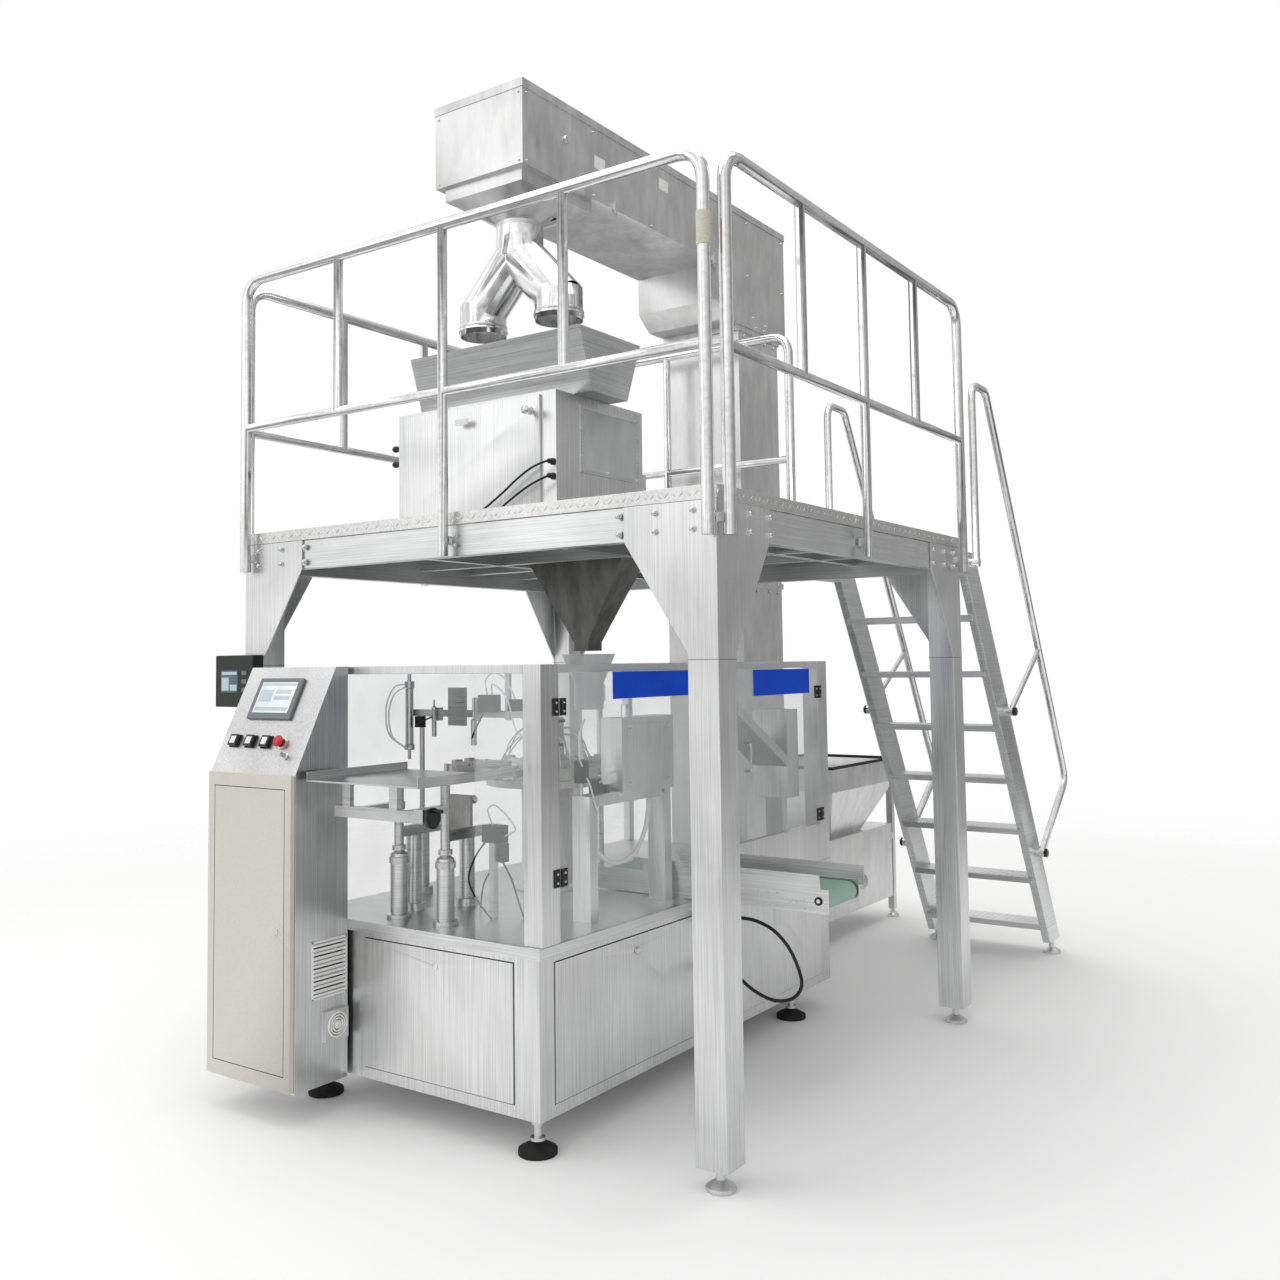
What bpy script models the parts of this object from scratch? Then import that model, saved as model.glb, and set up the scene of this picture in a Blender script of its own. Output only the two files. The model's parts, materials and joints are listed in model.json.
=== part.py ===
"""Rotary pouch filling and sealing machine under a work platform, with weigher and bucket elevator.

Metres, +Z up. The operator's side faces -Y, and the discharge conveyor leaves towards +X.
Pieces are laid out from the platform's front right corner on the floor. The last step moves
them all, so that the origin is at the centre of the footprint, on the floor.
"""

import math

import bmesh
import bpy
from mathutils import Matrix, Vector

# Clearances and stock sizes
GAP = 0.0003
RUNNING_GAP = 0.002
DOOR_GAP = 0.003
SHEET = 0.004
ROUND_SIDES = 16
TUBE_SIDES = 10
BEND_STEPS = 4

# Work platform
PLATFORM_WIDTH = 2.33
PLATFORM_DEPTH = 2.24
DECK_TOP = 2.22
DECK_EDGE = 0.048
DECK_PLATE = 0.005
LEG_SIDE = 0.115
LEG_FOOT_HEIGHT = 0.073
CHANNEL_HEIGHT = 0.117
CHANNEL_WIDTH = 0.045
BEAM_WIDTH = 0.04
BEAM_HEIGHT = 0.10
GUSSET_PLATE = 0.008
GUSSET_WIDTH = 0.245
GUSSET_HEIGHT = 0.51
RAIL_HEIGHT = 1.086
MID_RAIL_HEIGHT = 0.45
RAIL_RADIUS = 0.0225
BALUSTER_RADIUS = 0.019
MID_RAIL_RADIUS = 0.018
RAIL_OFFSET = 0.033
RAIL_BEND = 0.09
RAIL_DROP = 0.166

# Stair
STAIR_WIDTH = 0.70
STAIR_SETBACK = 0.245
STAIR_LEAN = 0.60
STRINGER_DEPTH = 0.165
STRINGER_THICKNESS = 0.04
TREAD_COUNT = 7
TREAD_START = 0.18
TREAD_PITCH = 0.2817
TREAD_DEPTH = 0.20
TREAD_THICKNESS = 0.03

# Machine base
BASE_RIGHT = -0.655
BASE_FRONT = -0.10
BASE_WIDTH = 1.175
BASE_LENGTH = 2.23
BASE_BOTTOM = 0.125
WORKTOP_HEIGHT = 0.70
WORKTOP_THICKNESS = 0.04
WORKTOP_OVERHANG = 0.015
BASE_WALL = 0.006
BASE_DOOR_MARGIN = 0.04
FOOT_RADIUS = 0.068
FOOT_INSET = 0.06

# Guarding
GUARD_TOP = 1.65
GUARD_POST = 0.08
GUARD_POST_DEPTH = 0.10
PANE = 0.008
FAR_DOOR_SILL = 0.88

# Control cabinet
CABINET_LEFT = -2.055
CABINET_WIDTH = 0.487
CABINET_DEPTH = 0.250
CABINET_BOTTOM = 0.12
CABINET_SLOPE_START = 1.262
CABINET_FLAT_TOP = 0.06
CABINET_WALL = 0.004
CABINET_DOOR = 0.018
BUTTON_SIDE = 0.045
BUTTON_TRAVEL = 0.005
ESTOP_RADIUS = 0.022
ESTOP_TRAVEL = 0.006

# Carousel
CAROUSEL_X = -1.33
CAROUSEL_Y = 0.80
BAG_RADIUS = 0.42
STATIONS = 8
PICKUP_ANGLE = -79.5
TABLE_RADIUS = 0.26
TABLE_HEIGHT = 1.17
ARM_HEIGHT = 1.215
BAG_HALF_WIDTH = 0.07
SHAFT_RADIUS = 0.045
PEDESTAL_RADIUS = 0.11

# Filling line
LINE_X = -1.41
FUNNEL_Y = 1.21
FUNNEL_WIDTH = 0.58
FUNNEL_DEPTH = 0.20
SPOUT_BOTTOM = 1.71
CUP_RADIUS = 0.125
CUP_NECK_RADIUS = 0.07
CUP_TOP = 1.695
CUP_NECK = 1.56
CUP_BOTTOM = 1.44
CUP_WALL = 0.003
CUP_TRAVEL = 0.05

# Discharge conveyor
CONVEYOR_NEAR = 0.88
CONVEYOR_WIDTH = 0.28
CONVEYOR_INNER_END = -1.13
CONVEYOR_OUTER_END = -0.06
CONVEYOR_TOP = 0.795
ROLLER_RADIUS = 0.033
BELT_THICKNESS = 0.003

# Weigher
WEIGHER_WIDTH = 0.87
WEIGHER_FRONT = 0.43
WEIGHER_DEPTH = 0.61
WEIGHER_HEIGHT = 0.52
HOPPER_RIM_HEIGHT = 0.775

# Bucket elevator
ELEVATOR_WIDTH = 0.49
ELEVATOR_WALL = 0.004
HEAD_FRONT = 0.465
HEAD_BOTTOM = 3.72
HEAD_TOP = 4.075
HEAD_CORNER_BOTTOM = 3.45
COLUMN_FRONT = 2.28
COLUMN_DEPTH = 0.44
BOOT_END = 4.22
BOOT_TOP = 0.60
BOOT_BOTTOM = 0.14
DUCT_RADIUS = 0.105
DUCT_TOP = 3.565
DUCT_Y = 0.74
DUCT_SPREAD = 0.215
DUCT_BOTTOM = 3.12

# Colour, roughness and metallic value of each finish
BRUSHED_STEEL = ((0.62, 0.62, 0.61), 0.35, 1.0)
POLISHED_STEEL = ((0.78, 0.78, 0.79), 0.15, 1.0)
CHECKER_STEEL = ((0.66, 0.66, 0.66), 0.3, 1.0)
ALUMINIUM = ((0.72, 0.73, 0.74), 0.4, 1.0)
BLACK_RUBBER = ((0.02, 0.02, 0.02), 0.8, 0.0)
BLACK_PLASTIC = ((0.03, 0.03, 0.03), 0.45, 0.0)
RED_PLASTIC = ((0.6, 0.03, 0.02), 0.35, 0.0)
CLEAR_PLASTIC = ((0.85, 0.9, 0.9), 0.1, 0.0)
GREY_ENAMEL = ((0.53, 0.50, 0.46), 0.45, 0.0)
GREEN_BELT = ((0.2, 0.42, 0.33), 0.6, 0.0)
GREY_CAST = ((0.3, 0.32, 0.34), 0.55, 0.0)
SCREEN_GLASS = ((0.25, 0.33, 0.36), 0.1, 0.0)

# Places that follow from the sizes above
FRAME_TOP = DECK_TOP - DECK_EDGE - GAP
BASE_LEFT = BASE_RIGHT - BASE_WIDTH
BASE_BACK = BASE_FRONT + BASE_LENGTH
BASE_TOP = WORKTOP_HEIGHT - WORKTOP_THICKNESS - GAP
CABINET_RIGHT = CABINET_LEFT + CABINET_WIDTH
CABINET_BACK = BASE_FRONT - WORKTOP_OVERHANG - GAP
CABINET_FRONT = CABINET_BACK - CABINET_DEPTH
CONVEYOR_FAR = CONVEYOR_NEAR + CONVEYOR_WIDTH
WEIGHER_TOP = DECK_TOP + WEIGHER_HEIGHT
COLUMN_BACK = COLUMN_FRONT + COLUMN_DEPTH
HEAD_BACK = COLUMN_BACK + 0.08
FILL_ANGLE = math.radians(PICKUP_ANGLE + 180.0)
FILL_POINT = (
    CAROUSEL_X + BAG_RADIUS * math.cos(FILL_ANGLE),
    CAROUSEL_Y + BAG_RADIUS * math.sin(FILL_ANGLE),
)


# Shells: each is a closed bmesh


def loft(rings, closed=False):
    """A shell through rings of equally many points. A closed one joins its last ring to its first."""
    shell = bmesh.new()
    loops = [[shell.verts.new(point) for point in ring] for ring in rings]
    pairs = list(zip(loops, loops[1:]))
    if closed:
        pairs.append((loops[-1], loops[0]))
    for lower, upper in pairs:
        for i in range(len(lower)):
            j = (i + 1) % len(lower)
            shell.faces.new((lower[i], lower[j], upper[j], upper[i]))
    if not closed:
        shell.faces.new(loops[0][::-1])
        shell.faces.new(loops[-1])
    bmesh.ops.recalc_face_normals(shell, faces=shell.faces)
    return shell


def rectangle(low, high, z):
    """The corners of a level rectangle."""
    return [(low[0], low[1], z), (high[0], low[1], z), (high[0], high[1], z), (low[0], high[1], z)]


def box(low, high):
    """A block between two corners."""
    return loft([rectangle(low, high, low[2]), rectangle(low, high, high[2])])


def prism(outline, axis, low, high):
    """An outline in the two other coordinates, in X, Y, Z order, extruded along the axis."""

    def place(a, b, level):
        return {"x": (level, a, b), "y": (a, level, b), "z": (a, b, level)}[axis]

    return loft([[place(a, b, level) for a, b in outline] for level in (low, high)])


def circle(centre, radius, turn, sides):
    """Points round a centre, in the plane square to the turned Z axis."""
    angles = [2 * math.pi * i / sides for i in range(sides)]
    return [
        Vector(centre) + turn @ Vector((radius * math.cos(a), radius * math.sin(a), 0))
        for a in angles
    ]


def turned(base, direction, profile, sides=ROUND_SIDES, closed=False):
    """A turned shell: the profile lists (radius, distance along the direction from the base)."""
    along = Vector(direction).normalized()
    turn = along.to_track_quat("Z", "Y").to_matrix()
    rings = [circle(Vector(base) + along * far, radius, turn, sides) for radius, far in profile]
    return loft(rings, closed)


def rod(start, end, radius, sides=ROUND_SIDES):
    """A round bar between two points."""
    along = Vector(end) - Vector(start)
    return turned(start, along, [(radius, 0.0), (radius, along.length)], sides)


def bar(start, end, width, height, across):
    """A square-edged bar between two points; its width lies along the direction across."""
    along = (Vector(end) - Vector(start)).normalized()
    side = Vector(across).normalized()
    up = along.cross(side)
    rings = []
    for point in (start, end):
        rings.append(
            [
                Vector(point) + side * width * a / 2 + up * height * b / 2
                for a, b in ((-1, -1), (1, -1), (1, 1), (-1, 1))
            ]
        )
    return loft(rings)


def bent(corners, bend):
    """The corners of a flat path, with each inner corner rounded to the bend radius."""
    points = [Vector(corner) for corner in corners]
    path = [points[0]]
    for before, corner, after in zip(points, points[1:], points[2:]):
        back = (before - corner).normalized()
        on = (after - corner).normalized()
        half = back.angle(on) / 2
        reach = bend / math.tan(half)
        centre = corner + (back + on).normalized() * bend / math.sin(half)
        start = corner + back * reach - centre
        end = corner + on * reach - centre
        sweep = start.angle(end)
        for i in range(BEND_STEPS + 1):
            part = i / BEND_STEPS
            mix = (start * math.sin(sweep * (1 - part)) + end * math.sin(sweep * part)) / math.sin(sweep)
            path.append(centre + mix)
    path.append(points[-1])
    return path


def tube(path, radius, normal, sides=TUBE_SIDES):
    """A round bar along a flat path whose plane is square to the normal."""
    normal = Vector(normal).normalized()
    rings = []
    for i, point in enumerate(path):
        before = path[max(i, 1)] - path[max(i, 1) - 1]
        after = path[min(i + 1, len(path) - 1)] - path[min(i, len(path) - 2)]
        along = (before.normalized() + after.normalized()).normalized()
        across = along.cross(normal)
        ring = []
        for k in range(sides):
            angle = 2 * math.pi * k / sides
            ring.append(point + radius * (math.cos(angle) * normal + math.sin(angle) * across))
        rings.append(ring)
    return loft(rings)


def frustum_wall(low_outer, low_z, high_outer, high_z, wall):
    """A four-sided hopper wall, open above and below; each outline is (low xy, high xy)."""

    def inset(outline):
        (x0, y0), (x1, y1) = outline
        return ((x0 + wall, y0 + wall), (x1 - wall, y1 - wall))

    rings = [
        rectangle(*low_outer, low_z),
        rectangle(*high_outer, high_z),
        rectangle(*inset(high_outer), high_z),
        rectangle(*inset(low_outer), low_z),
    ]
    return loft(rings, closed=True)


# Objects


def scene_object(name, shell):
    mesh = bpy.data.meshes.new(name)
    shell.to_mesh(mesh)
    shell.free()
    made = bpy.data.objects.new(name, mesh)
    bpy.context.scene.collection.objects.link(made)
    return made


def material_of(name, finish):
    """A material of the piece's own."""
    colour, roughness, metallic = finish
    material = bpy.data.materials.new(name + "_finish")
    material.use_nodes = True
    shader = material.node_tree.nodes["Principled BSDF"]
    shader.inputs["Base Color"].default_value = (*colour, 1.0)
    shader.inputs["Roughness"].default_value = roughness
    shader.inputs["Metallic"].default_value = metallic
    return material


def piece(name, finish, shells, cuts=(), pivot=(0.0, 0.0, 0.0)):
    """One named solid: its shells united, then cut. Its origin is at the pivot."""
    made = scene_object(name, shells[0])
    helpers = []
    for operation, group in (("UNION", shells[1:]), ("DIFFERENCE", cuts)):
        for shell in group:
            helper = scene_object(name + "_tool", shell)
            helpers.append(helper)
            boolean = made.modifiers.new(operation, "BOOLEAN")
            boolean.operation = operation
            boolean.object = helper
    graph = bpy.context.evaluated_depsgraph_get()
    mesh = bpy.data.meshes.new_from_object(made.evaluated_get(graph))
    made.modifiers.clear()
    for helper in helpers:
        bpy.data.objects.remove(helper)
    made.data = mesh
    mesh.transform(Matrix.Translation(-Vector(pivot)))
    made.location = pivot
    mesh.shade_smooth()
    mesh.set_sharp_from_angle(angle=math.radians(35))
    mesh.materials.clear()
    mesh.materials.append(material_of(name, finish))
    return made


# Work platform


def levelling_foot(x, y, top, radius=0.05):
    """A turned pad with its screwed stem."""
    profile = [(radius, 0.0), (radius, 0.012), (0.022, 0.03), (0.015, 0.034), (0.015, top)]
    return turned((x, y, 0), (0, 0, 1), profile, TUBE_SIDES + 2)


def platform_leg(name, right, front):
    """A box-section leg with its two gusset plates and its foot."""
    inward_x = -1 if right else 1
    inward_y = 1 if front else -1
    outer_x = 0.0 if right else -PLATFORM_WIDTH
    outer_y = 0.0 if front else PLATFORM_DEPTH
    inner_x = outer_x + inward_x * LEG_SIDE
    inner_y = outer_y + inward_y * LEG_SIDE
    low = (min(outer_x, inner_x), min(outer_y, inner_y))
    high = (max(outer_x, inner_x), max(outer_y, inner_y))
    end_plate = 0.01
    weld = 0.01
    shells = [box((*low, LEG_FOOT_HEIGHT), (*high, FRAME_TOP))]

    def gusset(edge, inward):
        outline = [
            (edge - inward * weld, FRAME_TOP),
            (edge + inward * GUSSET_WIDTH, FRAME_TOP),
            (edge + inward * GUSSET_WIDTH, FRAME_TOP - CHANNEL_HEIGHT),
            (edge - inward * weld, FRAME_TOP - GUSSET_HEIGHT),
        ]
        return outline

    plate_y = sorted((outer_y, outer_y + inward_y * GUSSET_PLATE))
    plate_x = sorted((outer_x, outer_x + inward_x * GUSSET_PLATE))
    shells.append(prism(gusset(inner_x, inward_x), "y", *plate_y))
    shells.append(prism(gusset(inner_y, inward_y), "x", *plate_x))
    centre = ((low[0] + high[0]) / 2, (low[1] + high[1]) / 2)
    shells.append(levelling_foot(*centre, LEG_FOOT_HEIGHT + end_plate / 2))
    bore = box(
        (low[0] + SHEET, low[1] + SHEET, LEG_FOOT_HEIGHT + end_plate),
        (high[0] - SHEET, high[1] - SHEET, FRAME_TOP + end_plate),
    )
    piece(name, BRUSHED_STEEL, shells, [bore])


def platform_frame():
    """Edge channels between the legs, joined by crossing beams under the deck."""
    bottom = FRAME_TOP - CHANNEL_HEIGHT
    near = GUSSET_PLATE + GAP
    end = LEG_SIDE + GAP
    width, depth = PLATFORM_WIDTH, PLATFORM_DEPTH
    shells = [
        box((end - width, near, bottom), (-end, near + CHANNEL_WIDTH, FRAME_TOP)),
        box((end - width, depth - near - CHANNEL_WIDTH, bottom), (-end, depth - near, FRAME_TOP)),
        box((-near - CHANNEL_WIDTH, end, bottom), (-near, depth - end, FRAME_TOP)),
        box((near - width, end, bottom), (near + CHANNEL_WIDTH - width, depth - end, FRAME_TOP)),
    ]
    beam_top = DECK_TOP - DECK_PLATE - GAP
    clear = DECK_EDGE / 2
    beam_bottom = beam_top - BEAM_HEIGHT
    side = FUNNEL_WIDTH / 2 + 2 * BEAM_WIDTH
    for x in (LINE_X - side, LINE_X + side, (LINE_X + side) / 2):
        shells.append(
            box((x - BEAM_WIDTH / 2, clear, beam_bottom), (x + BEAM_WIDTH / 2, depth - clear, beam_top))
        )
    back = FUNNEL_DEPTH / 2 + 2 * BEAM_WIDTH
    for y in ((FUNNEL_Y - back) / 2 + BEAM_WIDTH / 2, FUNNEL_Y - back, FUNNEL_Y + back,
              (FUNNEL_Y + back + depth) / 2):
        shells.append(
            box((clear - width, y - BEAM_WIDTH / 2, beam_bottom), (-clear, y + BEAM_WIDTH / 2, beam_top))
        )
    piece("platform_frame", BRUSHED_STEEL, shells)


def platform_deck():
    """A folded deck plate: its edge hangs over the frame, and a slot lets the product through."""
    low = (-PLATFORM_WIDTH, 0.0, DECK_TOP - DECK_EDGE)
    high = (0.0, PLATFORM_DEPTH, DECK_TOP)
    under = box(
        (low[0] + DECK_PLATE, low[1] + DECK_PLATE, low[2] - DECK_EDGE),
        (high[0] - DECK_PLATE, high[1] - DECK_PLATE, high[2] - DECK_PLATE),
    )
    slot_x = FUNNEL_WIDTH / 2 + DOOR_GAP
    slot_y = FUNNEL_DEPTH / 2 + DOOR_GAP
    slot = box(
        (LINE_X - slot_x, FUNNEL_Y - slot_y, low[2]),
        (LINE_X + slot_x, FUNNEL_Y + slot_y, high[2] + DECK_EDGE),
    )
    piece("platform_deck", CHECKER_STEEL, [box(low, high)], [under, slot])


def handrail(name, start, end, along, outward, bays=4, first_post=True, last_post=True):
    """A bent top rail on posts, a middle rail and balusters. Each long post is bolted to the frame."""
    along = Vector(along)
    outward = Vector(outward)
    normal = outward
    top = DECK_TOP + RAIL_HEIGHT
    middle = DECK_TOP + MID_RAIL_HEIGHT
    foot = DECK_TOP - RAIL_DROP
    start = Vector(start) + outward * RAIL_OFFSET
    end = Vector(end) + outward * RAIL_OFFSET

    def at(point, z):
        return Vector((point.x, point.y, z))

    first_foot = foot if first_post else middle
    last_foot = foot if last_post else middle
    corners = [at(start, first_foot), at(start, top), at(end, top), at(end, last_foot)]
    shells = [tube(bent(corners, RAIL_BEND), RAIL_RADIUS, normal)]
    shells.append(rod(at(start, middle), at(end, middle), MID_RAIL_RADIUS, TUBE_SIDES))
    for i in range(1, bays):
        point = start.lerp(end, i / bays)
        low = foot if i * 2 == bays else middle
        shells.append(rod(at(point, low), at(point, top), BALUSTER_RADIUS, TUBE_SIDES))
    pad = 0.03
    posts = [start] * first_post + [start.lerp(end, 0.5)] * (bays % 2 == 0) + [end] * last_post
    for post in posts:
        centre = at(post, FRAME_TOP - CHANNEL_HEIGHT / 2)
        inner = centre - outward * (RAIL_OFFSET - GAP)
        shells.append(bar(centre, inner, pad, pad, along))
    piece(name, POLISHED_STEEL, shells)


def handrails():
    inset = 0.04
    left, back = -PLATFORM_WIDTH, PLATFORM_DEPTH
    opening = -STAIR_WIDTH - 0.12
    handrail("handrail_front", (left + inset, 0, 0), (-0.01, 0, 0), (1, 0, 0), (0, -1, 0))
    handrail("handrail_right", (0, 0.03, 0), (0, back - inset, 0), (0, 1, 0), (1, 0, 0))
    handrail("handrail_left", (left, inset, 0), (left, back - inset, 0), (0, 1, 0), (-1, 0, 0))
    rear_offset = COLUMN_FRONT - PLATFORM_DEPTH - 2 * RAIL_OFFSET
    rear = (left + inset, back + min(rear_offset, 0) - 0.06, 0)
    rear_end = (opening, back + min(rear_offset, 0) - 0.06, 0)
    handrail_on_deck("handrail_rear", rear, rear_end)


def handrail_on_deck(name, start, end):
    """A rail whose posts stand on the deck by flanges, beside the elevator."""
    top = DECK_TOP + RAIL_HEIGHT
    middle = DECK_TOP + MID_RAIL_HEIGHT
    foot = DECK_TOP + GAP
    ends = [Vector(start), Vector(end)]

    def at(point, z):
        return Vector((point.x, point.y, z))

    corners = [at(ends[0], foot), at(ends[0], top), at(ends[1], top), at(ends[1], foot)]
    shells = [tube(bent(corners, RAIL_BEND), RAIL_RADIUS, (0, 1, 0))]
    shells.append(rod(at(ends[0], middle), at(ends[1], middle), MID_RAIL_RADIUS, TUBE_SIDES))
    centre = ends[0].lerp(ends[1], 0.5)
    shells.append(rod(at(centre, foot), at(centre, top), BALUSTER_RADIUS, TUBE_SIDES))
    flange = [(0.045, 0.0), (0.045, 0.008)]
    for post in (ends[0], centre, ends[1]):
        shells.append(turned(at(post, foot), (0, 0, 1), flange, TUBE_SIDES + 2))
    piece(name, POLISHED_STEEL, shells)


# Stair


STAIR_TOP_Y = PLATFORM_DEPTH + GAP
STAIR_TOP = FRAME_TOP
STAIR_OUTER = -0.04


def stair_line(z):
    """How far back the stair's centre line is at this height."""
    return STAIR_TOP_Y + STAIR_SETBACK + STAIR_LEAN * (STAIR_TOP - z)


def stair():
    """Two flat stringers with treads between them, and a levelling foot under each."""
    left = STAIR_OUTER - STAIR_WIDTH
    foot_height = 0.07
    half = STRINGER_DEPTH / 2 * math.hypot(1, STAIR_LEAN)
    top_bottom = STAIR_TOP - CHANNEL_HEIGHT
    shells = []
    for x in (STAIR_OUTER - STRINGER_THICKNESS, left):
        outline = [
            (STAIR_TOP_Y, STAIR_TOP),
            (stair_line(STAIR_TOP) + half, STAIR_TOP),
            (stair_line(foot_height) + half, foot_height),
            (stair_line(foot_height) - half, foot_height),
            (stair_line(top_bottom) - half, top_bottom),
            (STAIR_TOP_Y, top_bottom),
        ]
        shells.append(prism(outline, "x", x, x + STRINGER_THICKNESS))
        centre = x + STRINGER_THICKNESS / 2
        shells.append(levelling_foot(centre, stair_line(foot_height), foot_height + 0.02))
    for i in range(TREAD_COUNT):
        z = TREAD_START + TREAD_PITCH * i
        y = stair_line(z)
        low = (left + STRINGER_THICKNESS / 2, y - TREAD_DEPTH / 2, z - TREAD_THICKNESS)
        high = (STAIR_OUTER - STRINGER_THICKNESS / 2, y + TREAD_DEPTH / 2, z)
        shells.append(box(low, high))
    piece("stair", BRUSHED_STEEL, shells)


def stair_rail(name, x, inner_x):
    """A looped rail: up from the deck's edge, down beside the stringer, and back to its foot."""
    direction = math.copysign(1, x - inner_x)
    top = DECK_TOP + 0.78
    start_y = stair_line(FRAME_TOP) + 0.015
    low_z = 0.955
    rail_rise = 0.72
    slope_end = (x, stair_line(low_z) + rail_rise, low_z)
    slope_top = (x, stair_line(top) + rail_rise, top)
    foot_z = 0.60
    corners = [
        (x, start_y, DECK_TOP - 0.12),
        (x, start_y, top),
        slope_top,
        slope_end,
        (x, stair_line(foot_z), foot_z),
    ]
    shells = [tube(bent(corners, 0.07), BALUSTER_RADIUS, (1, 0, 0))]
    brace_z = 1.38
    part = (top - 1.70) / (top - low_z)
    brace_top = Vector(slope_top).lerp(Vector(slope_end), part)
    brace_foot = (x, stair_line(brace_z), brace_z)
    shells.append(rod(brace_top, brace_foot, BALUSTER_RADIUS * 0.7, TUBE_SIDES))
    pad = 0.03
    for y, z in ((start_y, DECK_TOP - 0.10), (stair_line(brace_z), brace_z), (stair_line(foot_z), foot_z)):
        face = inner_x + direction * GAP
        shells.append(rod((face, y, z), (x + direction * pad / 2, y, z), pad / 2 + 0.008, TUBE_SIDES))
    piece(name, POLISHED_STEEL, shells)


def stair_rails():
    stand_off = 0.035
    right_face = STAIR_OUTER
    left_face = STAIR_OUTER - STAIR_WIDTH
    stair_rail("stair_rail_right", right_face + stand_off, right_face)
    stair_rail("stair_rail_left", left_face - stand_off, left_face)


# Machine base


def base_door_span(side):
    """The low and high coordinate of each base door along its wall, and its hinge side."""
    middle = (BASE_FRONT + BASE_BACK) / 2
    return {
        "front": (CABINET_RIGHT + 2 * BASE_DOOR_MARGIN, BASE_RIGHT - 2.75 * BASE_DOOR_MARGIN),
        "right_front": (BASE_FRONT + 2 * BASE_DOOR_MARGIN, middle - BASE_DOOR_MARGIN),
        "right_rear": (middle + BASE_DOOR_MARGIN, BASE_BACK - 2 * BASE_DOOR_MARGIN),
    }[side]


DOOR_LOW = BASE_BOTTOM + BASE_DOOR_MARGIN
DOOR_HIGH = BASE_TOP - BASE_DOOR_MARGIN / 2


def base_cabinet():
    """A folded sheet base, open above, with three door openings and a cable hole."""
    low = (BASE_LEFT, BASE_FRONT, BASE_BOTTOM)
    high = (BASE_RIGHT, BASE_BACK, BASE_TOP)
    lip = 0.05
    floor = 0.012
    room = box(
        (low[0] + BASE_WALL, low[1] + BASE_WALL, low[2] + floor),
        (high[0] - BASE_WALL, high[1] - BASE_WALL, high[2] + lip),
    )
    cuts = [room]
    a, b = base_door_span("front")
    cuts.append(box((a, low[1] - lip, DOOR_LOW), (b, low[1] + lip, DOOR_HIGH)))
    for side in ("right_front", "right_rear"):
        a, b = base_door_span(side)
        cuts.append(box((high[0] - lip, a, DOOR_LOW), (high[0] + lip, b, DOOR_HIGH)))
    gland_y, gland_z = CABLE_ROUTE[-1][1:]
    gland = rod((high[0] - BASE_WALL / 2, gland_y, gland_z), (high[0] + GLAND_LENGTH, gland_y, gland_z),
                GLAND_RADIUS)
    piece("base_cabinet", BRUSHED_STEEL, [box(low, high), gland], cuts)


def base_doors():
    """Folded sheet doors set in the openings, each with a turned lock, hung on its edge."""
    lock_radius = 0.013
    lock_depth = 0.03
    proud = 0.004
    a, b = base_door_span("front")
    leaf = box((a + DOOR_GAP, BASE_FRONT - proud, DOOR_LOW + DOOR_GAP),
               (b - DOOR_GAP, BASE_FRONT + BASE_WALL, DOOR_HIGH - DOOR_GAP))
    lock_z = DOOR_HIGH - 2 * lock_depth
    lock = rod(((a + b) / 2, BASE_FRONT - 2 * proud, lock_z),
               ((a + b) / 2, BASE_FRONT + lock_depth, lock_z), lock_radius)
    pivot = (b - DOOR_GAP, BASE_FRONT - proud, DOOR_LOW)
    piece("base_door_front", BRUSHED_STEEL, [leaf, lock], pivot=pivot)
    for side, hinge_high in (("right_front", False), ("right_rear", True)):
        a, b = base_door_span(side)
        leaf = box((BASE_RIGHT - BASE_WALL, a + DOOR_GAP, DOOR_LOW + DOOR_GAP),
                   (BASE_RIGHT + proud, b - DOOR_GAP, DOOR_HIGH - DOOR_GAP))
        middle = (a + b) / 2
        lock = rod((BASE_RIGHT - lock_depth, middle, lock_z),
                   (BASE_RIGHT + 2 * proud, middle, lock_z), lock_radius)
        hinge = b - DOOR_GAP if hinge_high else a + DOOR_GAP
        pivot = (BASE_RIGHT + proud, hinge, DOOR_LOW)
        piece("base_door_" + side, BRUSHED_STEEL, [leaf, lock], pivot=pivot)


def base_feet():
    """Four rubber pads on screwed stems."""
    places = {
        "front_left": (BASE_LEFT + FOOT_INSET, BASE_FRONT + FOOT_INSET),
        "front_right": (BASE_RIGHT - FOOT_INSET, BASE_FRONT + FOOT_INSET),
        "rear_left": (BASE_LEFT + FOOT_INSET, BASE_BACK - 5 * FOOT_INSET),
        "rear_right": (BASE_RIGHT - FOOT_INSET, BASE_BACK - 5 * FOOT_INSET),
    }
    stem = 0.014
    top = BASE_BOTTOM - GAP
    profile = [
        (FOOT_RADIUS, 0.0),
        (FOOT_RADIUS, 0.018),
        (FOOT_RADIUS * 0.55, 0.034),
        (stem, 0.04),
        (stem, top - 0.012),
        (2 * stem, top - 0.012),
        (2 * stem, top),
    ]
    for name, (x, y) in places.items():
        piece("base_foot_" + name, BLACK_RUBBER, [turned((x, y, 0), (0, 0, 1), profile)])


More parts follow.
